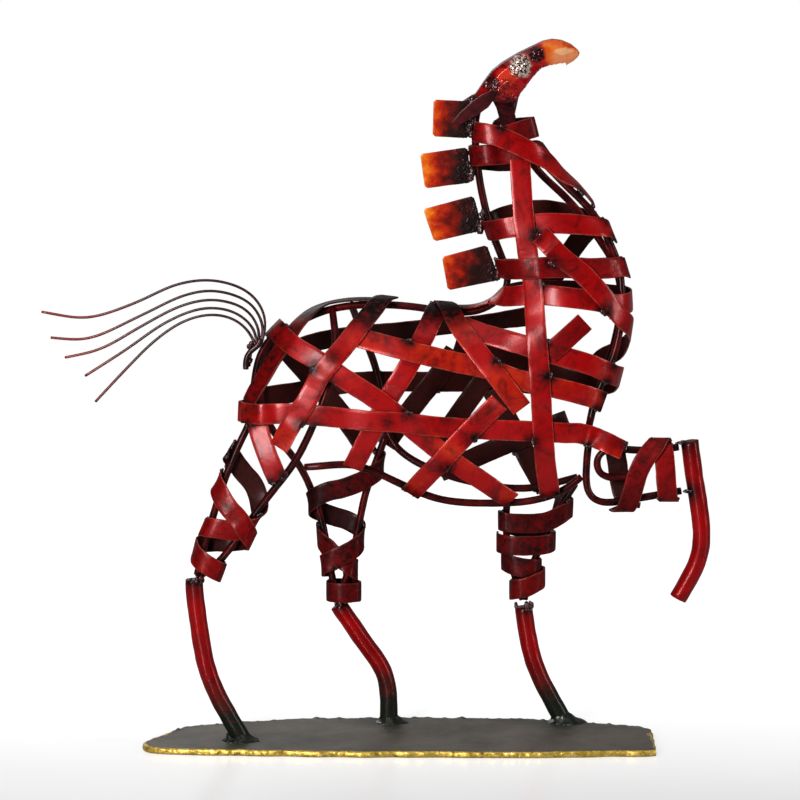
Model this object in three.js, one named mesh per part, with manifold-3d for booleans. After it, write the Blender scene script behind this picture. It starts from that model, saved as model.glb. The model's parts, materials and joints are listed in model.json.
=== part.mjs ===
// Prancing horse welded from bent round rod, flat strap and cut plate, on a flat base plate.
// Millimetres. +X is the way the horse faces, +Y is its left side, +Z is up.
// The origin is on the underside of the base plate, below the horse's mid-plane.

import * as THREE from 'three';
import * as BufferGeometryUtils from 'three/addons/utils/BufferGeometryUtils.js';
import Module from 'manifold-3d';

const wasm = await Module();
wasm.setup();

// ---------------------------------------------------------------- driving dimensions

const STRAP_WIDTH = 11;
const STRAP_THICK = 1;
const WRAP_WIDTH = 10.6;
const ROD_DIAMETER = 4;
const SHIN_DIAMETER = 9.6;
const WIRE_DIAMETER = 1.5;
const PLATE_THICK = 1.2;
const BASE_THICK = 3.2;
const BASE_LENGTH = 273;
const GAP = 0.3; // left between neighbouring pieces, where the real ones are welded

// The body form: the trunk and neck as one smooth swelling shape that the straps are bent round.
// BODY_OUTLINE is its edge in the mid-plane, as [x, z], from the rump over the back and neck.
const BODY_OUTLINE = [
    [-80, 178], [-78, 196], [-71, 212], [-58, 226], [-42, 234], [-22, 237.5], [5, 237], [25, 234],
    [42, 234], [52, 239], [55, 249], [50, 266], [44, 285], [40, 305], [38, 325], [40, 340],
    [52, 345], [66, 334], [84, 310], [97, 296], [107, 282], [116, 264], [122, 246], [123, 226],
    [119, 204], [114, 184], [110, 164], [104, 146], [92, 132], [70, 124], [42, 121], [15, 125],
    [-15, 137], [-42, 138], [-60, 132], [-74, 142], [-80, 160],
];
// Half-width of the form, and how far in from its edge the rounding runs, as [z, size].
const HALF_WIDTH = [[120, 28], [160, 33], [200, 33], [230, 31], [250, 26], [280, 20], [310, 15], [335, 11]];
const ROUNDING = [[120, 42], [200, 46], [230, 42], [250, 34], [280, 26], [310, 17], [335, 12]];
const FULLNESS = 2.5; // 2 is a round section, more is boxier

// How the straps are laid over each other.
const SAMPLE = 2; // spacing of the points that a strap is laid out on
const CHORD_ERROR = 0.2; // how far a facet may stand off the true curve
const LONGEST_FACET = 16; // in samples, where a strap is straight
const PITCH = STRAP_THICK + 2 * CHORD_ERROR + GAP + 0.1; // between the middles of two crossing straps
const REST_LIFT = STRAP_THICK / 2 + GAP + CHORD_ERROR; // of a strap that crosses only rods
const STRAP_REACH = 2.1; // a crossing strap is felt this far to the side of each of its points
const ROD_REACH = ROD_DIAMETER / 2 + 0.6;
const CROSSING_SPAN = 17.3; // two points further apart than this don't meet
const CROSSING_DEPTH = 9;
const FACING_LIMIT = 0.2; // least cosine between two faces that can lie on each other
const LAY_ROUNDS = 260;
const SETTLING = 0.8; // the share of the rounds in which the straps also ease
const EVENNESS = 0.45; // how strongly a strap evens out its own height in a round
const FALL = 0.02; // how strongly it falls back on to the rods

// How a leg wrap's path is drawn: one station counts as this many degrees of turn.
const DEGREES_A_STATION = 60;
const STEPS_A_TURN = 40;
const WRAP_SAMPLE = 1.4; // a wrap turns more tightly than a strap on the body

// ---------------------------------------------------------------- body form

function lookUp(table, z) {
    if (z <= table[0][0]) return table[0][1];
    for (let i = 1; i < table.length; i += 1) {
        const [z0, a] = table[i - 1];
        const [z1, b] = table[i];
        if (z <= z1) return a + (b - a) * (z - z0) / (z1 - z0);
    }
    return table[table.length - 1][1];
}

const outlineCurve = new THREE.CatmullRomCurve3(
    BODY_OUTLINE.map(([x, z]) => new THREE.Vector3(x, 0, z)), true, 'catmullrom', 0.5);
const OUTLINE = outlineCurve.getPoints(BODY_OUTLINE.length * 5).slice(0, -1);

// Distance in from the outline: positive inside it, negative outside.
function insetFromOutline(x, z) {
    let nearest = Infinity;
    let inside = false;
    for (let i = 0; i < OUTLINE.length; i += 1) {
        const a = OUTLINE[i];
        const b = OUTLINE[(i + 1) % OUTLINE.length];
        const dx = b.x - a.x;
        const dz = b.z - a.z;
        const t = THREE.MathUtils.clamp(((x - a.x) * dx + (z - a.z) * dz) / (dx * dx + dz * dz), 0, 1);
        nearest = Math.min(nearest, Math.hypot(x - a.x - t * dx, z - a.z - t * dz));
        const crosses = (a.z > z) !== (b.z > z);
        if (crosses && x < a.x + (z - a.z) / dz * dx) inside = !inside;
    }
    return inside ? nearest : -nearest;
}

// Zero on the form's surface, negative inside it.
function bodyLevel(p) {
    const edge = Math.max(0, 1 - insetFromOutline(p.x, p.z) / lookUp(ROUNDING, p.z));
    const side = Math.abs(p.y) / lookUp(HALF_WIDTH, p.z);
    return Math.pow(edge, FULLNESS) + Math.pow(side, FULLNESS) - 1;
}

function bodyGradient(p) {
    const h = 0.25; // mm
    const slope = (dx, dy, dz) => (
        bodyLevel(new THREE.Vector3(p.x + dx, p.y + dy, p.z + dz))
        - bodyLevel(new THREE.Vector3(p.x - dx, p.y - dy, p.z - dz))) / (2 * h);
    return new THREE.Vector3(slope(h, 0, 0), slope(0, h, 0), slope(0, 0, h));
}

// The point moved on to the form's surface, by Newton's steps that are kept short.
function ontoBody(point) {
    const rounds = 12;
    const longest = 400;
    const share = 0.9;
    const p = point.clone();
    for (let i = 0; i < rounds; i += 1) {
        const gradient = bodyGradient(p);
        const step = bodyLevel(p) / Math.max(gradient.lengthSq(), 1e-6);
        p.addScaledVector(gradient, -THREE.MathUtils.clamp(step, -longest, longest) * share);
    }
    return p;
}

function bodyNormal(p) {
    return bodyGradient(p).normalize();
}

// A point on the form: side is -1 on the horse's right, 1 on its left, and 0 at the outline.
function onBody(x, z, side) {
    const edge = THREE.MathUtils.clamp(1 - insetFromOutline(x, z) / lookUp(ROUNDING, z), 0, 1);
    const y = lookUp(HALF_WIDTH, z) * Math.pow(1 - Math.pow(edge, FULLNESS), 1 / FULLNESS);
    return ontoBody(new THREE.Vector3(x, side * Math.max(y, 0.5), z));
}

// A rod's centre just inside the form.
function under(x, z, side) {
    const p = onBody(x, z, side);
    return p.addScaledVector(bodyNormal(p), -(ROD_DIAMETER / 2 + GAP));
}

function at(x, y, z) {
    return new THREE.Vector3(x, y, z);
}

// ---------------------------------------------------------------- solids

function signedVolume(positions, index) {
    let volume = 0;
    const a = new THREE.Vector3();
    const b = new THREE.Vector3();
    const c = new THREE.Vector3();
    for (let i = 0; i < index.length; i += 3) {
        a.fromArray(positions, index[i] * 3);
        b.fromArray(positions, index[i + 1] * 3);
        c.fromArray(positions, index[i + 2] * 3);
        volume += a.dot(b.cross(c)) / 6;
    }
    return volume;
}

function meshFrom(points, faces) {
    const positions = points.flatMap((p) => p.toArray());
    if (signedVolume(positions, faces) < 0) faces.reverse();
    const geometry = new THREE.BufferGeometry();
    geometry.setAttribute('position', new THREE.Float32BufferAttribute(positions, 3));
    geometry.setIndex(faces);
    return geometry;
}

// Skins a list of equal rings of points, and caps both ends unless the rings close on themselves.
function skin(rings, closed) {
    const sides = rings[0].length;
    const faces = [];
    const spans = closed ? rings.length : rings.length - 1;
    for (let i = 0; i < spans; i += 1) {
        const here = i * sides;
        const next = ((i + 1) % rings.length) * sides;
        for (let k = 0; k < sides; k += 1) {
            const m = (k + 1) % sides;
            faces.push(here + k, here + m, next + m, here + k, next + m, next + k);
        }
    }
    if (!closed) {
        const last = (rings.length - 1) * sides;
        for (let k = 1; k < sides - 1; k += 1) {
            faces.push(0, k + 1, k);
            faces.push(last, last + k, last + k + 1);
        }
    }
    return meshFrom(rings.flat(), faces);
}

function weldVertices(geometry) {
    const plain = geometry.clone();
    plain.deleteAttribute('normal');
    plain.deleteAttribute('uv');
    return BufferGeometryUtils.mergeVertices(plain, 1e-4);
}

function toSolid(geometry) {
    const merged = weldVertices(geometry);
    return new wasm.Manifold(new wasm.Mesh({
        numProp: 3,
        vertProperties: new Float32Array(merged.attributes.position.array),
        triVerts: new Uint32Array(merged.index.array),
    }));
}

function fromSolid(solid) {
    const mesh = solid.getMesh();
    const geometry = new THREE.BufferGeometry();
    geometry.setAttribute('position', new THREE.Float32BufferAttribute(mesh.vertProperties, 3));
    geometry.setIndex(Array.from(mesh.triVerts));
    return geometry;
}

function join(geometries) {
    return fromSolid(geometries.map(toSolid).reduce((sum, next) => sum.add(next)));
}

function circle(radius, sides) {
    const shape = new THREE.Shape();
    for (let k = 0; k < sides; k += 1) {
        const angle = 2 * Math.PI * (k + 0.5) / sides;
        shape[k ? 'lineTo' : 'moveTo'](radius * Math.cos(angle), radius * Math.sin(angle));
    }
    return shape;
}

function roundBar(points, diameter, sides, stepLength) {
    const path = new THREE.CatmullRomCurve3(points, false, 'centripetal');
    return weldVertices(new THREE.ExtrudeGeometry(circle(diameter / 2, sides), {
        steps: Math.max(3, Math.round(path.getLength() / stepLength)),
        extrudePath: path,
    }));
}

// A flat plate from its outline in X and Z, centred on y.
function flatPlate(outline, y, thick) {
    const shape = new THREE.Shape(outline.map(([x, z]) => new THREE.Vector2(x, z)));
    const plate = new THREE.ExtrudeGeometry(shape, { depth: thick, bevelEnabled: false });
    plate.rotateX(Math.PI / 2);
    plate.translate(0, y + thick / 2, 0);
    return weldVertices(plate);
}

// ---------------------------------------------------------------- rods

const rodCurves = [];

function rod(points, steps = 9) {
    const path = new THREE.CatmullRomCurve3(points, false, 'centripetal');
    rodCurves.push(path.getSpacedPoints(Math.round(path.getLength() / SAMPLE)));
    return roundBar(points, ROD_DIAMETER, 6, steps);
}

const rods = {
    spine_and_neck_rod: rod([
        under(-58, 226, 0), under(-42, 234, 0), under(-22, 237.5, 0), under(5, 237, 0), under(25, 234, 0),
        under(42, 234, 0), at(54.5, 0, 239), at(59, 0, 248), under(50, 266, 0), under(44, 285, 0),
        under(40, 305, 0), under(38, 325, 0), at(41.5, 0, 341), at(46, 0, 349), at(52, 0, 353),
    ], 10),
    throat_rod_right: rod([
        at(63.5, -4.5, 326), at(71, -6.5, 318), at(88.5, -8, 300), at(103.5, -9, 284.8),
        at(112.9, -10, 267.3),
        at(117, -11, 257), at(118.2, -13, 244.7), at(117.5, -15, 225), at(113, -18, 207), at(107, -20, 195),
        at(103, -22, 184), at(101.5, -23, 176),
    ], 9),
    throat_rod_left: rod([
        at(62.5, 4.5, 327), at(67, 6, 316.5), at(75, 8, 305), at(90, 9, 291), at(105, 10, 272),
        at(116, 11, 254),
        at(119, 13, 240), at(117.5, 15, 222), at(112, 19, 200), at(105, 20, 180), at(101, 20, 160),
    ], 9),
    belly_rod_right: rod([
        at(-50, -21.5, 151), under(-38, 152, -0.9), at(-26, -20, 152.5), at(-12.7, -19, 148.1),
        at(0.5, -19, 141.7),
        at(21.7, -18, 133), at(48.2, -18, 131), at(72, -18, 132.5), at(88, -18, 138), at(97, -17, 145),
    ]),
    belly_rod_left: rod([
        under(-25.6, 235.5, 0.35), under(-21.7, 223, 1), under(-12.2, 196, 1), under(-8.5, 175, 1),
        at(-7, 25, 163), at(0.5, 21.5, 153), at(16.4, 19, 144), at(42.9, 18, 136), at(69.4, 18, 133.3),
        at(95.9, 18, 139.5),
    ]),
    hind_rods_right: join([
        rod([
            at(-62, -5.5, 224), at(-69.4, -8, 217.5), at(-74.5, -10, 208.5), at(-76.5, -13, 200),
            at(-77.3, -17, 190),
            at(-78.5, -20, 176), at(-84, -23, 166), at(-88.5, -24, 155), at(-93.8, -24, 142),
            at(-98.6, -24, 126),
            at(-103, -24, 111), at(-106, -24, 100), at(-107.5, -24, 93.5),
        ]),
        rod([
            under(-36, 235, -0.35), under(-34, 217, -1), under(-39, 191, -1), under(-46, 174, -1),
            at(-55, -28, 155),
            at(-67.8, -26, 138), at(-77.4, -25, 125.3), at(-89.6, -24.5, 108), at(-97, -24, 99),
            at(-105, -24, 93.5),
        ]),
    ]),
    hind_rods_left: join([
        rod([
            at(-62, 5.5, 224), at(-68, 9, 213), at(-73, 14, 201), at(-75, 18, 188), at(-73.5, 21, 176),
            at(-67, 25, 162), at(-53.5, 28, 144), at(-47.5, 28.5, 131), at(-41.3, 28.5, 112),
            at(-37.6, 28, 90),
            at(-34, 28, 72),
        ]),
        rod([
            at(-7.4, 28.8, 160), at(-14, 29, 142), at(-18.5, 29, 128), at(-21.5, 28.5, 113), at(-26, 28, 92),
            at(-32, 28, 72),
        ]),
    ]),
    fore_rods_left: join([
        rod([at(58.5, 20.5, 129.5), at(57.8, 25, 112), at(59.6, 27.5, 95), at(63.8, 28, 80.5),
            at(67, 28, 71)]),
        rod([at(95, 22, 135), at(85.3, 26, 118.8), at(79, 27.5, 105), at(73, 28, 92), at(68, 28, 71)]),
    ]),
    foreleg_rod_right: rod([
        at(101.5, -26, 171), at(100, -26.5, 160), at(99.3, -26.5, 146), at(100.5, -26.5, 137.5),
        at(105, -26.5, 133.3), at(112, -26, 132.6), at(127.7, -25.5, 135), at(149.8, -25, 138.8),
    ], 6),
    foreleg_top_rod_right: rod([
        at(148.3, -25, 162.3), at(138, -25, 160.9), at(127, -25.5, 160.6), at(113, -25.5, 161.4),
        at(106.5, -25, 159), at(104.8, -25, 153), at(107.5, -24, 147), at(114, -23.5, 145.5),
        at(121, -23.5, 145.5),
    ], 5),
};

// ---------------------------------------------------------------- straps

// An anchor is either [x, z, side] on the body form, or [x, y, z, facing] off it, where facing is
// the direction that the strap's outer face is turned to.
function anchor(entry) {
    if (entry.length === 3) {
        const place = onBody(...entry);
        return { place, out: bodyNormal(place), held: 1 };
    }
    const [x, y, z, facing] = entry;
    return { place: at(x, y, z), out: at(...facing).normalize(), held: 0 };
}

// A strap is laid out as points and outward directions along its middle line.
function strap(rank, entries, closed = false) {
    const anchors = entries.map(anchor);
    const path = new THREE.CatmullRomCurve3(anchors.map(({ place }) => place), closed, 'centripetal');
    const spans = closed ? anchors.length : anchors.length - 1;
    const count = Math.round(path.getLength() / SAMPLE);
    const line = [];
    for (let i = 0; i < count + (closed ? 0 : 1); i += 1) {
        const t = path.getUtoTmapping(i / count);
        const k = Math.min(Math.floor(t * spans), spans - 1);
        const from = anchors[k];
        const to = anchors[(k + 1) % anchors.length];
        const share = t * spans - k;
        const held = THREE.MathUtils.lerp(from.held, to.held, share);
        const loose = path.getPoint(t);
        const place = held > 0 ? loose.clone().lerp(ontoBody(loose), held) : loose;
        const out = from.out.clone().lerp(to.out, share);
        if (held > 0) out.lerp(bodyNormal(ontoBody(place)), held);
        line.push({ place, out: out.normalize() });
    }
    return { rank, line, closed, width: STRAP_WIDTH };
}

// A leg's own form: an oblong section round its two rods, at stations along the leg. Each station is
// [x, z] of one rod, [x, z] of the other, their y, and how far the wraps stand out sideways.
function legForm(stations) {
    const margin = ROD_DIAMETER / 2 + GAP;
    const sections = stations.map(([x1, z1, x2, z2, y, depth, slack = 0]) => ({
        centre: at((x1 + x2) / 2, y, (z1 + z2) / 2),
        front: at(x2 - x1, 0, z2 - z1).normalize(),
        breadth: Math.hypot(x2 - x1, z2 - z1) / 2 + margin + slack,
        depth,
    }));
    return (along, degrees) => {
        const i = THREE.MathUtils.clamp(Math.floor(along), 0, sections.length - 2);
        const [from, to] = [sections[i], sections[i + 1]];
        const centre = from.centre.clone().lerp(to.centre, along - i);
        const front = from.front.clone().lerp(to.front, along - i).normalize();
        const breadth = THREE.MathUtils.lerp(from.breadth, to.breadth, along - i);
        const depth = THREE.MathUtils.lerp(from.depth, to.depth, along - i);
        const angle = THREE.MathUtils.degToRad(degrees);
        const c = Math.cos(angle);
        const s = Math.sin(angle);
        const ahead = breadth * Math.sign(c) * Math.pow(Math.abs(c), 2 / FULLNESS);
        const aside = depth * Math.sign(s) * Math.pow(Math.abs(s), 2 / FULLNESS);
        const turnAhead = Math.sign(c) * Math.pow(Math.abs(ahead) / breadth, FULLNESS - 1) / breadth;
        const turnAside = Math.sign(s) * Math.pow(Math.abs(aside) / depth, FULLNESS - 1) / depth;
        return {
            place: centre.addScaledVector(front, ahead).add(at(0, -aside, 0)),
            out: front.multiplyScalar(turnAhead).add(at(0, -turnAside, 0)).normalize(),
        };
    };
}

// A wrap turns round a leg form through a list of [station, degrees]. 0 is at the second rod,
// 180 at the first, and 90 on the horse's right.
function legWrap(rank, form, turns, closed = false) {
    const route = turns.map(([station, degrees]) => at(station * DEGREES_A_STATION, degrees, 0));
    const fine = new THREE.CatmullRomCurve3(route, false, 'centripetal')
        .getPoints(turns.length * STEPS_A_TURN)
        .map((p) => form(p.x / DEGREES_A_STATION, p.y));
    const line = [fine[0]];
    for (const next of fine) {
        if (next.place.distanceTo(line[line.length - 1].place) >= WRAP_SAMPLE) line.push(next);
    }
    if (closed && line[line.length - 1].place.distanceTo(line[0].place) < SAMPLE / 2) line.pop();
    return { rank, line, closed, width: WRAP_WIDTH };
}

const rightHindForm = legForm([
    [-86.5, 160, -60.5, 147.5, -25.5, 5.5], [-93.8, 142, -73, 131.5, -24.5, 5.5],
    [-98.6, 126, -82.7, 118, -24, 6],
    [-103, 111, -91.5, 106, -24, 6], [-106.3, 99, -99.5, 96.5, -24, 6],
]);
const leftHindForm = legForm([
    [-57, 151, -8.5, 157, 28, 5.5], [-48.5, 133, -17.5, 131.5, 28.5, 5.5], [-42, 114.5, -21.3, 114, 28.5, 6],
    [-38.2, 94, -25.5, 94, 28, 6], [-35.8, 81, -29, 81, 28, 6], [-34.5, 73, -31, 73, 28, 5.5],
]);
const leftForeForm = legForm([
    [58.5, 129, 91, 128, 24, 6], [58.3, 117, 84.5, 117, 26, 6], [57.5, 103, 77, 103, 27.5, 6.5, 1],
    [61.5, 90, 72.5, 90, 28, 6.5], [64.5, 79, 70, 79, 28, 6.5], [66.3, 73, 68.7, 73, 28, 6],
]);
const rightForeForm = legForm([
    [104, 134, 105, 160, -25, 6], [120, 133.8, 120, 160.8, -25, 6], [135, 136.1, 135, 160.9, -25, 6],
    [149, 138.7, 149, 162, -25, 6],
]);

const R = -1;
const L = 1;
const OUT_RIGHT = [-0.15, -1, 0.1];

// Body straps as [x, z, side] along the middle of each. A higher rank lies over a lower one.
const straps = {
    inner_flank_strap: strap(0, [[22, 235, R * 0.2], [14, 223, R], [4, 205, R], [-4, 192, R], [-16, 169, R],
        [-25, 152, R]]),
    rump_edge_strap: strap(0, [[-9, 237.5, R * 0.6], [-26, 237.5, R * 0.6], [-39, 235, R], [-50, 229, R],
        [-59, 219, R], [-67, 206, R], [-73, 192, R], [-76, 184, R]]),
    chest_strap: strap(0, [[32, 228, R], [45, 223, R], [56, 220, R], [68, 217, R], [85, 212, R],
        [101, 207, R],
        [112, 201, R], [118, 196, 0], [109, 190, L], [88, 193, L], [68, 200, L], [48, 205, L], [30, 210, L]]),
    hip_strap: strap(0, [[-75, -22, 175, OUT_RIGHT], [-71.5, -27.5, 163, OUT_RIGHT],
        [-67.5, -28.8, 153, OUT_RIGHT], [-64, -28.8, 145, OUT_RIGHT]]),
    withers_strap: strap(0, [[31, 234.3, R * 0.35], [42, 234.8, R * 0.4], [51, 238, R * 0.7], [60, 242, R],
        [72, 244, R], [85, 243, R], [101, 241, R], [115, 238, R], [123, 238, 0], [112, 238, L], [90, 240, L],
        [68, 240, L], [56, 239, L]]),
    upper_neck_ring: strap(0, [[46, 276, 0], [60, 279, R], [75, 281, R], [95, 280, R], [111, 272, 0],
        [95, 281, L], [75, 284, L], [58, 281, L]], true),
    throat_ring: strap(0, [[39, 315, 0], [50, 317, R], [61, 318, R], [78, 317, 0], [62, 311, L],
        [49, 311, L]], true),
    poll_collar: strap(0, [[51, -8.4, 324.5, [-0.1, -1, 0]], [59, -8.6, 327.5, [0.2, -1, 0.1]],
        [64.5, -5, 329, [0.8, -0.8, 0.25]], [66.4, 0, 329.3, [1, 0, 0.25]], [64.5, 5, 329, [0.8, 0.8, 0.25]],
        [59, 8.6, 328.4, [0.2, 1, 0.1]], [51, 8.4, 327.6, [-0.1, 1, 0]]]),
    upper_flank_strap_left: strap(0, [[-58, 208, L], [-29, 214, L], [1, 217, L], [27, 220, L], [54, 223, L],
        [77, 226, L]]),
    belly_strap_left: strap(0, [[22, 141, L], [35, 146, L], [64, 158, L], [91, 169, L]]),
    front_flank_strap_left: strap(1, [[60, 211, L], [54, 203, L], [41, 184, L], [32, 171, L], [19, 152, L]]),
    foreleg_strap_left: strap(1, [[50, 185, L], [56, 174, L], [64, 159, L], [72, 144, L], [79, 133, L]]),
    long_rump_diagonal_left: strap(1, [[-60, 207, L], [-42, 185, L], [-29, 169, L], [-16, 152, L]]),
    flank_diagonal_right: strap(1, [[-63, 220.3, R * 0.5], [-55, 215.6, R], [-41, 208, R], [-32, 202, R],
        [-9, 187, R],
        [11, 170, R], [31, 154, R], [43, 146, R], [60, 134, R]]),
    mid_flank_strap: strap(1, [[-21, 221, R], [1, 215, R], [27, 209, R], [47, 205, R], [61, 200, R],
        [83, 195, R],
        [100, 190, R], [108, 186, R]]),
    shoulder_brace: strap(1, [[79, 213, R], [88, 221, R], [98, 230, R]]),
    mid_flank_strap_left: strap(2, [[30, 206, L], [22, 194, L], [10, 179, L], [-2, 163, L], [-7, 156, L]]),
    neck_diagonal_left: strap(2, [[105, 279, L], [94, 264, L], [83, 247, L], [70, 235, L]]),
    back_to_girth_strap: strap(2, [[23, 234.5, R * 0.3], [32, 225, R], [42, 213, R], [52, 201, R],
        [65, 184, R]]),
    girth_strap: strap(3, [[118, -29, 160.2, [0.3, -1, 0.5]], [110, -29.8, 165, [0.2, -1, 0.3]],
        [96, 170.3, R],
        [85, 171, R], [69, 172, R], [27, 174, R], [1, 177, R], [-18, 178, R], [-52, 181, R], [-74, 180, R],
        [-80.5, 180, 0], [-73, 182, L], [-52, 184, L], [-22, 189, L], [16, 189, L], [54, 189, L],
        [85, 187, L],
        [103, 186, L]]),
    rump_diagonal_right: strap(4, [[-5, 237.3, R * 0.3], [-18, 229, R], [-30, 215, R], [-41, 202, R],
        [-48, 189, R],
        [-55, 178, R], [-62.5, 163, R]]),
    belly_diagonal_right: strap(4, [[53, 188, R], [38, 173, R], [24, 158, R], [14, 147, R], [6, 137.5, R]]),
    shoulder_strap: strap(4, [[64, 315, R], [65, 294, R], [67, 275, R], [68.5, 262, R], [71, 247, R],
        [73, 221, R],
        [75, 189, R], [77, 159, R], [80, 136, R]]),
    lower_neck_ring: strap(5, [[54, 256, 0], [64, 257, R], [85, 258, R], [107, 257, R], [119, 254, 0],
        [105, 252, L], [85, 252, L], [64, 252, L]], true),
    throat_strap: strap(5, [[41, 329, R], [56, 325, R], [69, 318, R], [77, 313, R], [86, 305, R],
        [94, 298, R * 0.5], [102, 289, R * 0.3]]),
    neck_diagonal_right: strap(6, [[74.5, 275, R], [85, 264, R], [96, 255, R], [107, 243, R], [116, 231, R],
        [122, 219, 0], [117, 211, L * 0.8], [108, 203, L], [99, 193, L]]),

    hind_wrap_right: legWrap(1, rightHindForm, [
        [0.05, 185], [0.6, 270], [1.6, 360], [2.25, 450], [2.55, 540], [2.7, 600]]),
    hind_cross_strap_right: legWrap(2, rightHindForm, [
        [0.85, 200], [0.95, 180], [1.6, 90], [2.28, 0], [2.9, -90], [3.5, -180], [3.8, -270], [4, -360],
        [4.05, -400]]),
    hind_wrap_left: legWrap(1, leftHindForm, [
        [0.35, -30], [0.48, 0], [1, 90], [1.57, 180], [2, 270], [2.44, 360], [2.9, 450], [3.4, 540],
        [3.5, 600]]),
    hind_cross_strap_left: legWrap(0, leftHindForm, [[2.3, 210], [2.4, 180], [3, 90], [3.6, 0], [3.7, -80]]),
    hock_ring_left: legWrap(0, leftHindForm, [[4.65, 0], [4.65, 120], [4.65, 240], [4.65, 360]], true),
    fore_wrap_left: legWrap(2, leftForeForm, [
        [0.3, -60], [0.6, 0], [1.15, 60], [1.2, 120], [1.15, 180], [1.6, 270], [2, 360], [2.1, 450],
        [2, 560]]),
    knee_strap_left: legWrap(0, leftForeForm, [[2.75, 210], [2.8, 180], [3.05, 90], [3.2, 0], [3.3, -60]]),
    knee_collar_left: legWrap(1, leftForeForm, [
        [3.85, -130], [3.75, -90], [3.6, 0], [4.05, 90], [4.45, 170], [4.5, 192]]),
    foreleg_strap_rear_right: legWrap(0, rightForeForm, [[0.5, 10], [0.8, -90], [1.15, -180], [1.2, -215]]),
    foreleg_strap_middle_right: legWrap(1, rightForeForm, [
        [0.75, 200], [0.9, 180], [1.42, 90], [2.25, 0], [2.35, -70]]),
    foreleg_strap_front_right: legWrap(0, rightForeForm, [
        [2.25, -70], [2.3, 0], [2.45, 90], [2.6, 180], [2.65, 200]]),
};

function crossOffsets(width) {
    return [-0.5, -0.25, 0, 0.25, 0.5].map((f) => f * width);
}

// The points of a strap next to point i, or that point itself at an end.
function neighbours(items, i, closed) {
    const n = items.length;
    return [items[closed ? (i + n - 1) % n : Math.max(i - 1, 0)],
        items[closed ? (i + 1) % n : Math.min(i + 1, n - 1)]];
}

function prepare({ line, closed, width }) {
    line.forEach((spot, i) => {
        const [before, after] = neighbours(line, i, closed);
        spot.across = after.place.clone().sub(before.place).cross(spot.out).normalize();
        spot.bar = crossOffsets(width).map((offset) => spot.place.clone().addScaledVector(spot.across,
            offset));
        spot.lift = REST_LIFT;
        spot.reach = STRAP_REACH;
    });
}

// How high one bar of points lies over another, where they meet.
function heightOver(spot, other) {
    let height = -Infinity;
    spot.bar.forEach((a) => {
        other.bar.forEach((b) => {
            const apart = b.clone().sub(a);
            const up = apart.dot(spot.out);
            const aside = Math.sqrt(Math.max(apart.lengthSq() - up * up, 0));
            if (aside < other.reach && Math.abs(up) < CROSSING_DEPTH) height = Math.max(height, up);
        });
    });
    return height;
}

// Heights that one strap's points need, so as to clear what they cross.
function crossings(upper, others) {
    const found = [];
    upper.line.forEach((spot) => {
        others.forEach((other) => {
            if (other.place.distanceTo(spot.place) > CROSSING_SPAN) return;
            const facing = other.out ? other.out.dot(spot.out) : 1;
            if (facing < FACING_LIMIT) return;
            const height = heightOver(spot, other);
            if (height > -Infinity) found.push({ spot, other, height, facing });
        });
    });
    return found;
}

function ease({ line, closed }) {
    const old = line.map((spot) => spot.lift);
    line.forEach((spot, i) => {
        const [before, after] = neighbours(old, i, closed);
        spot.lift += EVENNESS * ((before + after) / 2 - old[i]) + FALL * (REST_LIFT - old[i]);
    });
}

// Lays all the straps: each rests just off the rods, and where two cross they share the room.
function layStraps() {
    const list = Object.values(straps);
    list.forEach(prepare);
    const rodSpots = rodCurves.flat().map((p) => ({ place: p, bar: [p], reach: ROD_REACH, fixed: true }));
    const pairs = [];
    list.forEach((upper, i) => {
        pairs.push(...crossings(upper, rodSpots));
        list.forEach((lower, k) => {
            const over = upper.rank > lower.rank || (upper.rank === lower.rank && i > k);
            if (over) pairs.push(...crossings(upper, lower.line));
        });
    });
    const roomOverRod = ROD_DIAMETER / 2 + STRAP_THICK / 2 + GAP + CHORD_ERROR;
    for (let round = 0; round < LAY_ROUNDS; round += 1) {
        if (round < LAY_ROUNDS * SETTLING) list.forEach(ease);
        pairs.forEach(({ spot, other, height, facing }) => {
            if (other.fixed) {
                spot.lift = Math.max(spot.lift, height + roomOverRod);
                return;
            }
            const short = height + facing * other.lift + PITCH - spot.lift;
            if (short <= 0) return;
            spot.lift += short / 2;
            other.lift -= short / 2;
        });
    }
    // Last, from the inside out, every strap is raised clear of what it lies on.
    list.map((piece, i) => ({ piece, i }))
        .sort((a, b) => a.piece.rank - b.piece.rank || a.i - b.i)
        .forEach(({ piece }) => {
            const mine = new Set(piece.line);
            pairs.filter((pair) => mine.has(pair.spot)).forEach(({ spot, other, height, facing }) => {
                const need = other.fixed ? height + roomOverRod : height + facing * other.lift + PITCH;
                spot.lift = Math.max(spot.lift, need);
            });
        });
}

// Keeps only the points that a bent strap needs.
function keepNeeded(points, first, last, kept) {
    const chord = new THREE.Line3(points[first], points[last]);
    const foot = new THREE.Vector3();
    let worst = 0;
    let furthest = first;
    for (let i = first + 1; i < last; i += 1) {
        chord.closestPointToPoint(points[i], true, foot);
        const off = foot.distanceTo(points[i]);
        if (off > worst) {
            worst = off;
            furthest = i;
        }
    }
    const bent = worst > CHORD_ERROR;
    if (!bent && last - first <= LONGEST_FACET) return;
    const split = bent ? furthest : Math.round((first + last) / 2);
    keepNeeded(points, first, split, kept);
    kept.push(split);
    keepNeeded(points, split, last, kept);
}

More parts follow.
